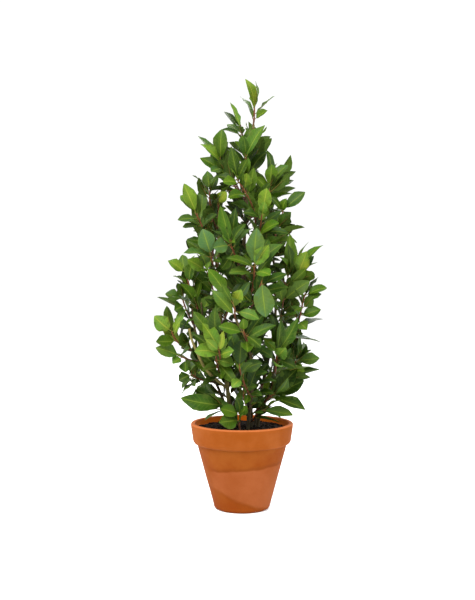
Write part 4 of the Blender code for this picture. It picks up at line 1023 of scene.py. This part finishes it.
def read_stem(node):
    """Middle line and radius of a design stem: its points, sorted along it, in rings of eight."""
    points, _ = welded(node)
    middle = points.mean(axis=0)
    axis = np.linalg.svd(points - middle, full_matrices=False)[2][0]
    axis = axis if axis[2] > 0.0 else -axis
    order = np.argsort((points - middle) @ axis)
    rings = points[order].reshape(-1, DESIGN_SIDES, 3)
    centres = rings.mean(axis=1)
    return centres, np.linalg.norm(rings - centres[:, None], axis=-1).mean(axis=1)


print("rings of the main stem", len(read_stem(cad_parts["trunk"])[0]))


# %% Fine stems
STEM_SIDES = 14
STEM_STEP = 0.006              # metres between two rings
BARK_LUMPS = 0.09              # how much the radius wanders, as a share
NODE_GAP = 0.034               # metres between two old leaf rings, and their width and height
NODE_WIDTH = 0.0022
NODE_HEIGHT = 0.0004
CLEARED = ("stem_left", "pruned_branch")        # bare wood that shows from the front
CLEARED_TO = 0.36              # height up to which it is bare
WOOD_ABOVE_SOIL = 0.03         # no inner leaf grows from lower wood
bare_wood = []


def add_stem(name, node):
    """A fine tube along a design stem, with nodes every few centimetres."""
    centres, radii = read_stem(node)
    length = np.linalg.norm(np.diff(centres, axis=0), axis=1).sum()
    steps = max(8, int(length / STEM_STEP))
    line = smooth_line(centres, steps)
    radius = np.interp(np.linspace(0, 1, steps), np.linspace(0, 1, len(radii)), radii)
    angle = 2.0 * math.pi * np.arange(STEM_SIDES) / STEM_SIDES
    around = np.stack([np.cos(angle), np.sin(angle)], axis=-1) * 1.2
    spots = np.concatenate([np.broadcast_to(around[None], (steps, STEM_SIDES, 2)),
                            np.broadcast_to((np.arange(steps) * 0.22)[:, None, None],
                                            (steps, STEM_SIDES, 1))], axis=-1)
    bumps = value_noise(spots + len(name), 3)
    place = np.linspace(0.0, length, steps)
    rings = np.exp(-(((place % NODE_GAP) - NODE_GAP / 2.0) / NODE_WIDTH) ** 2)
    lumpy = radius[:, None] * (1.0 + BARK_LUMPS * bumps) + NODE_HEIGHT * rings[:, None]
    oldest, youngest = (0.20, 0.0) if name in CLEARED else (0.9, 0.3)
    wood = np.linspace(oldest, youngest, steps)
    parts = MeshParts()
    add_tube(parts, line, lumpy, wood, 1.0 if name.startswith("pruned") else 0.0, 0.0)
    finish_piece(parts, name + "_wood", [bark_look], "bark", name)
    if not name.startswith("pruned"):
        wood_points.append(line[line[:, 2] > SOIL_LEVEL + WOOD_ABOVE_SOIL])
    if name in CLEARED:
        bare_wood.append(line[line[:, 2] < CLEARED_TO])


for node_name, node in sorted(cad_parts.items()):
    if node_name.startswith(("stem_", "pruned_")) or node_name == "trunk":
        add_stem(node_name, node)

# %% [markdown]
# ## The inside of the bush
#
# The design holds the leaves that give the plant its outline. A real bay is denser: many older,
# darker leaves grow inside, wherever there is room and some light, and here part of their darkness
# is painted shade. Placing them by hand would take hundreds of choices, so the widest gaps are
# looked for: random places inside the cone are tried, the one farthest from every leaf wins, and a
# leaf grows to it from the nearest wood.

# %% Places inside the bush
CONE_HEIGHTS = np.array([0.19, 0.24, 0.30, 0.36, 0.42, 0.54, 0.66, 0.77])
CONE_RADII = np.array([0.085, 0.115, 0.140, 0.150, 0.145, 0.125, 0.090, 0.040])
INNER_SHARE = 0.86             # inner leaves end within this share of the cone's radius
TRIES = 9000


def random_places():
    """Places inside the cone, evenly by volume round its axis."""
    z = rng.uniform(CONE_HEIGHTS[0], CONE_HEIGHTS[-1], TRIES)
    radius = np.interp(z, CONE_HEIGHTS, CONE_RADII) * np.sqrt(rng.uniform(0.0, 1.0, TRIES))
    radius = radius * INNER_SHARE
    turn = rng.uniform(0.0, 2.0 * math.pi, TRIES)
    keep = rng.uniform(0.0, CONE_RADII.max(), TRIES) < np.interp(z, CONE_HEIGHTS, CONE_RADII)
    return np.stack([radius * np.cos(turn), radius * np.sin(turn), z], axis=-1)[keep]


def nearest(places, others):
    """Distance to the nearest of the other points, and which it is: |a - b|^2 written out."""
    squares = (np.sum(places ** 2, axis=1)[:, None] + np.sum(others ** 2, axis=1)[None]
               - 2.0 * places @ others.T)
    index = squares.argmin(axis=1)
    least = np.take_along_axis(squares, index[:, None], axis=1)[:, 0]
    return np.sqrt(np.maximum(least, 0.0)), index


print("cone from", CONE_HEIGHTS[0], "to", CONE_HEIGHTS[-1], "m, widest", CONE_RADII.max())


# %% Grow leaves towards the widest gaps
INNER_LEAVES = 420
INNER_LEAST_ROOM = 0.009       # a gap narrower than this stays empty
INNER_STALK = 0.007
INNER_LENGTHS = (0.034, 0.068)
PAST_GAP = 0.016               # a leaf's tip goes this far past the gap's middle
WOOD_REACH = (0.022, 0.080)    # how far a gap may lie from the nearest wood
CLEARED_ROOM = 0.014           # no inner leaf comes nearer than this to the bare wood's front
FACE_TURN = np.array([0.0, -0.35, 0.75])        # added to outwards: up, and to the front


def inner_frame(root, target):
    """One leaf from the wood towards a gap, its face turned outwards, up and to the front."""
    along = unit(target - root)
    base = root + along * INNER_STALK
    length = np.clip(np.linalg.norm(target - base) + PAST_GAP, *INNER_LENGTHS)
    length = length * rng.uniform(0.9, 1.05)
    face = unit(np.array([target[0], target[1], 0.0])) + FACE_TURN
    face = face + rng.uniform(-0.35, 0.35, 3)
    normal = unit(face - along * np.dot(face, along))
    half = length * rng.uniform(0.165, 0.205)
    return base, base + along * length, length, half, along, np.cross(along, normal), normal


def grow_inner_leaves():
    """Fill the widest gaps one after another; returns the frames and the roots of the leaves."""
    places = random_places()
    wood = np.concatenate(wood_points)
    _, index = nearest(places - np.array([0.0, 0.0, 0.02]), wood)
    roots = wood[index]
    reach = np.linalg.norm(places - roots, axis=1)
    near = (reach > WOOD_REACH[0]) & (reach < WOOD_REACH[1])
    bare = np.concatenate(bare_wood)
    beside, index = nearest(places * (1.0, 0.0, 1.0), bare * (1.0, 0.0, 1.0))
    near &= (beside > CLEARED_ROOM) | (places[:, 1] > bare[index, 1] + 0.01)
    places, roots = places[near], roots[near]
    room, _ = nearest(places, np.concatenate(leaf_spots))
    rows = []
    for _ in range(INNER_LEAVES):
        best = room.argmax()
        if room[best] < INNER_LEAST_ROOM:
            break
        rows.append((*inner_frame(roots[best], places[best]), roots[best]))
        frame_row = tuple(np.asarray(value)[None] for value in rows[-1][:7])
        fresh, _ = nearest(places, leaf_samples(frame_row))
        room = np.minimum(room, fresh)
        room[best] = 0.0
    columns = [np.array(column) for column in zip(*rows)]
    return tuple(columns[:7]), columns[7]


inner_frames, inner_roots = grow_inner_leaves()
print("inner leaves", len(inner_roots))

# %% Age and lay the inner leaves
INNER_PIECES = 10
INNER_AGE_AND_SHADE = 0.98               # age and painted shade at the plant's axis,
INNER_YOUNGER_AND_LIGHTER = 0.32           # and how much younger and less shaded a leaf is at the cone's surface
depth = np.hypot(inner_frames[1][:, 0], inner_frames[1][:, 1])
depth = depth / np.interp(inner_frames[1][:, 2], CONE_HEIGHTS, CONE_RADII)
# Painted shade: inner leaves darken towards the plant's axis, partly as older leaves and partly
# for the shade deep inside the bush.
inner_age = INNER_AGE_AND_SHADE - INNER_YOUNGER_AND_LIGHTER * depth + rng.uniform(-0.10, 0.10, len(depth))
inner_age = np.clip(inner_age, 0.3, 1.0)
inner_bloom = np.clip(rng.uniform(-0.8, 0.4, len(depth)), 0.0, 1.0)
order = np.argsort(inner_frames[1][:, 2])
for number, members in enumerate(np.array_split(order, INNER_PIECES)):
    parts = MeshParts()
    add_leaves(parts, tuple(value[members] for value in inner_frames), inner_roots[members],
               inner_age[members], inner_bloom[members])
    finish_piece(parts, f"inner_leaves_{number + 1:02d}", [leaf_look, twig_look], "leaf")
print("inner leaves laid in", INNER_PIECES, "pieces")

# %% [markdown]
# ## Terracotta pot
#
# The pot is pressed clay: a tapered body under a thick band, fired without glaze. It is a turned
# shape, so a profile of radius and height is spun round the upright axis. The profile is closed,
# from the drain hole out under the foot, up the wall, over the lip and back down the inside, so
# the wall has its real thickness. Small noise in the radius keeps it from looking machined.

# %% The pot's sizes, from the design body
pot_low, pot_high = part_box("pot")
POT_HEIGHT = pot_high.z - pot_low.z
RIM_RADIUS = (pot_high.x - pot_low.x) / 2.0
BAND_HEIGHT = 0.042
BAND_ROUND = 0.011
BAND_FOOT = RIM_RADIUS - 0.0037
SHOULDER = 0.0907
FOOT_ROUND = 0.0085
LIP = 0.003
FOOT_RADIUS = 0.0547
WALL = 0.0085
FLOOR = 0.010
DRAIN = 0.010
print("pot", round(POT_HEIGHT, 4), "m high, rim radius", round(RIM_RADIUS, 4))


# %% Profile of the pot
def wall_at(z):
    """Outer radius of the tapered body at height z."""
    return FOOT_RADIUS + (SHOULDER - FOOT_RADIUS) * z / (POT_HEIGHT - BAND_HEIGHT)


def rounded(centre, radius, start, end, steps):
    """An arc in the (radius, height) plane between two angles in degrees."""
    angle = np.radians(np.linspace(start, end, steps))
    return np.stack([centre[0] + radius * np.cos(angle), centre[1] + radius * np.sin(angle)], 1)


def straight(start, end, steps):
    """Evenly spaced points from start to end, without the end."""
    share = np.linspace(0.0, 1.0, steps, endpoint=False)[:, None]
    return np.asarray(start) * (1.0 - share) + np.asarray(end) * share


def pot_profile():
    """Closed outline of the pot's wall, anticlockwise, as (radius, height).

    The band's lower edge is a quarter of an ellipse, (overhang cos t, BAND_ROUND sin t), that
    runs in to the wall; foot and lip are quarters of a circle.
    """
    band_z = POT_HEIGHT - BAND_HEIGHT
    overhang = BAND_FOOT - SHOULDER
    foot = wall_at(FOOT_ROUND)
    inner_top = wall_at(POT_HEIGHT) - WALL
    band_edge = rounded((0.0, 0.0), 1.0, -84, 0, 9) * (overhang, BAND_ROUND)
    return np.concatenate([
        straight((DRAIN, 0.0), (foot - FOOT_ROUND, 0.0), 8),
        rounded((foot - FOOT_ROUND, FOOT_ROUND), FOOT_ROUND, -90, 0, 10),
        straight((wall_at(0.012), 0.012), (SHOULDER, band_z), 30),
        [(SHOULDER - 0.0002, band_z)],
        band_edge + (SHOULDER, band_z + BAND_ROUND),
        straight((BAND_FOOT + 0.0003, band_z + BAND_ROUND + 0.003),
                 (RIM_RADIUS, POT_HEIGHT - LIP - 0.003), 12),
        rounded((RIM_RADIUS - LIP, POT_HEIGHT - LIP), LIP, 0, 90, 7),
        rounded((inner_top + LIP, POT_HEIGHT - LIP), LIP, 90, 180, 7),
        straight((wall_at(POT_HEIGHT - 0.006) - WALL, POT_HEIGHT - 0.006),
                 (wall_at(FLOOR) - WALL, FLOOR), 16),
        straight((wall_at(FLOOR) - WALL, FLOOR), (DRAIN, FLOOR), 5),
        straight((DRAIN, FLOOR), (DRAIN, 0.0), 3)])


profile = pot_profile()
print("profile of", len(profile), "points")


# %% Spin a profile, and make a plain mesh
def spin_closed(profile, segments, wobble):
    """Spin a closed profile: point (r, z) goes to (r cos a, r sin a, z) for each angle a."""
    angle = 2.0 * math.pi * np.arange(segments) / segments
    radius = profile[None, :, 0] + wobble
    x = radius * np.cos(angle)[:, None]
    y = radius * np.sin(angle)[:, None]
    z = np.broadcast_to(profile[None, :, 1], x.shape)
    points = np.stack([x, y, z], axis=-1).reshape(-1, 3)
    count = len(profile)
    k, i = np.meshgrid(np.arange(segments), np.arange(count), indexing="ij")
    after_k, after_i = (k + 1) % segments, (i + 1) % count
    faces = np.stack([k * count + i, after_k * count + i,
                      after_k * count + after_i, k * count + after_i], axis=-1)
    return points, faces.reshape(-1, 4)


def plain_mesh(name, points, faces, material):
    """A smooth mesh object from points and faces of one size."""
    mesh = bpy.data.meshes.new(name)
    mesh.vertices.add(len(points))
    mesh.vertices.foreach_set("co", points.astype(np.float32).ravel())
    mesh.loops.add(faces.size)
    mesh.loops.foreach_set("vertex_index", faces.astype(np.int32).ravel())
    mesh.polygons.add(len(faces))
    starts = np.arange(len(faces)) * faces.shape[1]
    mesh.polygons.foreach_set("loop_start", starts.astype(np.int32))
    mesh.update(calc_edges=True)
    mesh.materials.append(material)
    mesh.shade_smooth()
    made = bpy.data.objects.new(name, mesh)
    bpy.context.scene.collection.objects.link(made)
    return made


# %% [markdown]
# Unglazed clay takes up water from below and from the soil. Where it dries, a paler pinkish field
# stays with a darker line at its upper edge, and the rest keeps a deep damp orange. The field is
# drawn from Object coordinates: below a nearly level line and above one that falls to the right,
# and it stops short of the left side.


# %% Terracotta material
TIDE_LEVEL = 0.0905            # height of the tide line at the middle, and how it climbs with x
TIDE_SLOPE = 0.085
SWEEP_LEVEL = 0.022            # height of the field's lower edge at the middle, and its slope
SWEEP_SLOPE = -0.42
LEFT_END = (-0.068, -0.050)    # the field fades out towards the left between these x
WANDER = 0.008                 # metres that noise moves the edges
DRY_SHARE = 0.85               # how strongly the dry field, the tide line and the damp foot show
TIDE_SHARE = 0.45
DAMP_SHARE = 0.7


def drying_marks(g, x, z, drift):
    """Masks of the dry field and of the dark line round it.

    The field lies below TIDE_LEVEL + TIDE_SLOPE * x and above SWEEP_LEVEL + SWEEP_SLOPE * x, and
    noise makes both edges wander. LEFT_END bounds it on the left.
    """
    wander = g.math("MULTIPLY", g.math("SUBTRACT", drift, 0.5), WANDER)
    line = g.scaled(x, TIDE_SLOPE, TIDE_LEVEL)
    above = g.math("ADD", g.math("SUBTRACT", z, line), wander)
    sweep = g.scaled(x, SWEEP_SLOPE, SWEEP_LEVEL)
    beyond = g.math("SUBTRACT", g.math("SUBTRACT", z, sweep), g.math("MULTIPLY", wander, 1.5))
    inside = g.math("MULTIPLY", g.smooth(beyond, -0.003, 0.006), g.smooth(x, *LEFT_END))
    dry = g.math("MULTIPLY", g.outside(g.smooth(above, -0.0035, 0.0005)), inside)
    tide = g.math("MULTIPLY", g.smooth(above, -0.0035, 0.0),
                  g.outside(g.smooth(above, 0.001, 0.008)))
    tide = g.math("MULTIPLY", tide, inside)
    lower = g.math("MULTIPLY", g.smooth(beyond, -0.008, -0.001),
                   g.outside(g.smooth(beyond, 0.0, 0.006)))
    return dry, g.math("MAXIMUM", tide, g.math("MULTIPLY", lower, 0.4))


def inner_wall(g, place, z):
    """Mask of the wall inside the rim: closer to the axis than the lip, and high up."""
    flat = g.node("ShaderNodeVectorMath", {"operation": "MULTIPLY"}, i0=place,
                  i1=(1.0, 1.0, 0.0)).outputs[0]
    radius = g.node("ShaderNodeVectorMath", {"operation": "LENGTH"}, i0=flat).outputs["Value"]
    within = g.outside(g.smooth(radius, RIM_RADIUS - 0.0075, RIM_RADIUS - 0.0045))
    return g.math("MULTIPLY", within, g.smooth(z, POT_HEIGHT - 0.040, POT_HEIGHT - 0.030))


def terracotta_material():
    """Fired clay: damp orange, a dry pinkish field with a dark tide line; painted light on the
    band and inside the rim, and a painted highlight on the lip.
    """
    g = Graph("terracotta")
    place = g.place()
    parts = g.node("ShaderNodeSeparateXYZ", None, Vector=place)
    x, z = parts.outputs[0], parts.outputs[2]
    cloud = g.smooth(g.noise(place, 16.0, 4.0, 0.6), 0.30, 0.70)
    drift = g.noise(place, 30.0, 3.0, 0.6)
    grit = g.noise(place, 700.0, 3.0, 0.7)
    dry, tide = drying_marks(g, x, z, drift)
    low = g.math("MULTIPLY", g.outside(g.smooth(z, 0.0, 0.06)), g.outside(dry))

    band = g.smooth(z, POT_HEIGHT - BAND_HEIGHT - 0.003, POT_HEIGHT - BAND_HEIGHT + 0.003)
    colour = g.mix(cloud, (0.152, 0.0300, 0.0008, 1.0), (0.180, 0.0460, 0.0048, 1.0))
    # Painted light: the band's clay is lighter than the body's, to make up for the shade that the
    # foliage casts on the band.
    band_painted_light = g.mix(cloud, (0.170, 0.0375, 0.0015, 1.0), (0.202, 0.0530, 0.0085, 1.0))
    colour = g.mix(band, colour, band_painted_light)
    colour = g.mix(g.math("MULTIPLY", low, DAMP_SHARE), colour, (0.150, 0.0270, 0.0004, 1.0))
    dry_clay = g.mix(cloud, (0.182, 0.0450, 0.0090, 1.0), (0.208, 0.0560, 0.0160, 1.0))
    colour = g.mix(g.math("MULTIPLY", dry, DRY_SHARE), colour, dry_clay)
    colour = g.mix(g.math("MULTIPLY", tide, TIDE_SHARE), colour, (0.104, 0.0230, 0.0020, 1.0))
    # Painted light: the wall inside the rim is painted a much brighter orange than the clay
    # outside, against the shade it lies in.
    colour = g.mix(inner_wall(g, place, z), colour, (0.520, 0.1100, 0.0040, 1.0))
    shade = g.scaled(grit, 0.22, 0.89)
    colour = g.mix(1.0, colour, shade, "MULTIPLY")
    # Painted highlight: the top of the lip is painted a paler salmon, where light falls on it.
    lip = g.math("MULTIPLY", g.smooth(z, POT_HEIGHT - 0.0035, POT_HEIGHT - 0.001),
                 g.math("ADD", 0.45, g.math("MULTIPLY", drift, 0.5)))
    colour = g.mix(lip, colour, (0.36, 0.105, 0.032, 1.0))
    turning = g.node("ShaderNodeMapping", None, Vector=place, Scale=(0.05, 0.05, 1.0)).outputs[0]
    rings = g.noise(turning, 260.0, 2.0)
    height = g.math("ADD", g.math("MULTIPLY", grit, 0.55), g.math("MULTIPLY", rings, 0.6))
    height = g.math("ADD", height, g.math("MULTIPLY", drift, 0.6))
    rough = g.scaled(drift, 0.15, 0.70)
    return g.finish(colour, rough, height, depth=0.0005, strength=0.35, Specular_IOR_Level=0.07)


clay_look = terracotta_material()
print("terracotta material with", len(clay_look.node_tree.nodes), "nodes")

# %% Spin the pot
POT_SEGMENTS = 144
CLAY_WOBBLE = 0.00022          # metres that the turned wall wanders in and out
CLAY_INSET = 0.0001            # and how far it is drawn in, to stay in the design's box
NOISE_ROUND = 2.0              # noise cells in the radius, and in a metre of height
NOISE_UP = 30.0
spin_angle = 2.0 * math.pi * np.arange(POT_SEGMENTS) / POT_SEGMENTS
grid = (POT_SEGMENTS, len(profile))
spots = np.stack([np.broadcast_to(np.cos(spin_angle)[:, None] * NOISE_ROUND, grid),
                  np.broadcast_to(np.sin(spin_angle)[:, None] * NOISE_ROUND, grid),
                  np.broadcast_to(profile[None, :, 1] * NOISE_UP, grid)], axis=-1)
wobble = CLAY_WOBBLE * value_noise(spots, 11) - CLAY_INSET
pot_points, pot_faces = spin_closed(profile, POT_SEGMENTS, wobble)
pot = plain_mesh("terracotta_pot", pot_points, pot_faces, clay_look)
pot.data.set_sharp_from_angle(angle=math.radians(50.0))
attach(pot, ROOT_BODY)
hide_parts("pot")
print("pot", len(pot_faces), "faces")

# %% [markdown]
# ## Soil
#
# Potting soil is dark, moist and crumbly, with bits of bark. A smooth disc with a bumpy material
# would look painted from above, so the surface itself is raised and lowered by three sizes of
# noise, and loose crumbs lie on it.


# %% Soil material
def soil_material():
    """Dark compost with brown fibres and a few paler bits."""
    g = Graph("compost")
    place = g.place()
    lumps = g.noise(place, 160.0, 5.0, 0.7)
    specks = g.smooth(g.noise(place, 380.0, 2.0), 0.62, 0.72)
    fibre = g.smooth(g.noise(place, 210.0, 2.0), 0.60, 0.70)
    colour = g.ramp(lumps, [(0.25, (0.003, 0.002, 0.0015)), (0.8, (0.026, 0.015, 0.009)),
                            (0.55, (0.009, 0.0055, 0.0035))])
    colour = g.mix(g.math("MULTIPLY", fibre, 0.5), colour, (0.075, 0.038, 0.020, 1.0))
    colour = g.mix(g.math("MULTIPLY", specks, 0.35), colour, (0.16, 0.13, 0.10, 1.0))
    return g.finish(colour, 0.95, lumps, depth=0.003, strength=0.8, Specular_IOR_Level=0.05)


soil_look = soil_material()
print("soil material with", len(soil_look.node_tree.nodes), "nodes")

# %% Height of the soil
SOIL_GAP = 0.0004              # the soil ends this far from its design edge
SOIL_DROP = 0.0020             # and starts this far below its design top, to leave room for lumps
SOIL_CROWN = 0.0016            # metres that the middle stands over the edge
LUMPS_A_METRE = 60.0
LUMP_SIZES = ((1.0, 0.0011, 5), (3.1, 0.0008, 6), (8.3, 0.0006, 7))   # scale, metres, seed
soil_radius = soil_high.x - SOIL_GAP
soil_edge = SOIL_LEVEL - SOIL_DROP


def soil_lift(x, y):
    """Height of the soil over its edge level: a low crown and noise of three sizes."""
    spots = np.stack([x, y, np.zeros_like(x)], axis=-1) * LUMPS_A_METRE
    lift = SOIL_CROWN * (1.0 - (x * x + y * y) / soil_radius ** 2)
    for scale, metres, seed in LUMP_SIZES:
        lift = lift + metres * value_noise(spots * scale, seed)
    return lift


soil_middle = soil_edge + float(soil_lift(np.zeros(1), np.zeros(1))[0])
print("soil at the edge and in the middle", round(soil_edge, 4), round(soil_middle, 4))

# %% Soil surface
SOIL_AROUND = 120
SOIL_RINGS = 34
SOIL_BOTTOM = 0.0103           # just over the pot's floor
angle = 2.0 * math.pi * np.arange(SOIL_AROUND) / SOIL_AROUND
bottom_radius = wall_at(FLOOR) - WALL - 0.0005
walls = np.array([[0.3 * bottom_radius, SOIL_BOTTOM], [bottom_radius, SOIL_BOTTOM],
                  [(bottom_radius + soil_radius) / 2.0, (SOIL_BOTTOM + soil_edge) / 2.0]])
top = np.linspace(1.0, 0.03, SOIL_RINGS)
radii = np.concatenate([walls[:, 0], soil_radius * top])
x = radii[:, None] * np.cos(angle)[None]
y = radii[:, None] * np.sin(angle)[None]
z = np.repeat(np.append(walls[:, 1], np.full(SOIL_RINGS, soil_edge))[:, None], SOIL_AROUND, axis=1)
z[len(walls):] += soil_lift(x[len(walls):], y[len(walls):])
rings = np.stack([x, y, z], axis=-1)
parts = MeshParts()
quads, fans, quad_uv, fan_uv = tube_uv(len(radii), SOIL_AROUND)
poles = np.array([[0.0, 0.0, SOIL_BOTTOM], [0.0, 0.0, soil_middle]])
points = np.concatenate([rings.reshape(-1, 3), poles])[None]
parts.add(points, quads, fans, quad_uv, fan_uv, tags_for(1, len(quads)), tags_for(1, len(fans)))
finish_piece(parts, "potting_soil", [soil_look], "soil", "soil")
print("soil", len(points[0]), "points")

# %% Crumbs
CRUMBS = 420
CRUMB_SIDES = 5
CRUMB_PLACES = np.array([-1.0, -0.55, 0.55, 1.0])    # rings along a crumb, in its half lengths
CRUMB_RADII = np.array([0.25, 0.8, 0.75, 0.3])       # and their radii, in its size
CRUMB_STRETCH = 1.3            # half length of a crumb, in its size
distance = soil_radius * 0.96 * np.sqrt(rng.uniform(0.0, 1.0, CRUMBS))
bearing = rng.uniform(0.0, 2.0 * math.pi, CRUMBS)
centre = np.stack([distance * np.cos(bearing), distance * np.sin(bearing)], axis=-1)
crumb = 0.0009 + 0.0022 * rng.uniform(0.0, 1.0, CRUMBS) ** 2.5
level = rng.normal(size=(CRUMBS, 2))
heading = unit(np.concatenate([level, rng.normal(size=(CRUMBS, 1)) * 0.4], axis=1))
height = soil_edge + soil_lift(centre[:, 0], centre[:, 1]) + crumb * 0.25
middle = np.concatenate([centre, height[:, None]], axis=1)
share = CRUMB_PLACES[None, :, None]
lines = middle[:, None] + heading[:, None] * crumb[:, None, None] * CRUMB_STRETCH * share
radius = crumb[:, None, None] * CRUMB_RADII[None, :, None]
radius = radius * rng.uniform(0.7, 1.15, (CRUMBS, len(CRUMB_RADII), CRUMB_SIDES))
quads, fans, quad_uv, fan_uv = tube_uv(len(CRUMB_RADII), CRUMB_SIDES)
parts = MeshParts()
parts.add(tube_points(lines, radius, CRUMB_SIDES), quads, fans, quad_uv, fan_uv,
          tags_for(CRUMBS, len(quads)), tags_for(CRUMBS, len(fans)))
finish_piece(parts, "soil_crumbs", [soil_look], "soil")
print(CRUMBS, "crumbs")

# %% [markdown]
# ## Floor
#
# The floor is plain and pale, so that it takes a soft shadow and gives nothing else to look at.

# %% Floor
FLOOR_SIZE = 30.0
floor_material = Graph("pale_floor")
floor_material.finish((0.97, 0.97, 0.97, 1.0), 0.9)
bpy.ops.mesh.primitive_plane_add(size=FLOOR_SIZE, location=(0.0, 0.0, 0.0))
floor = bpy.context.object
floor.name = "floor"
floor.data.materials.append(floor_material.material)
print("floor", FLOOR_SIZE, "m wide")
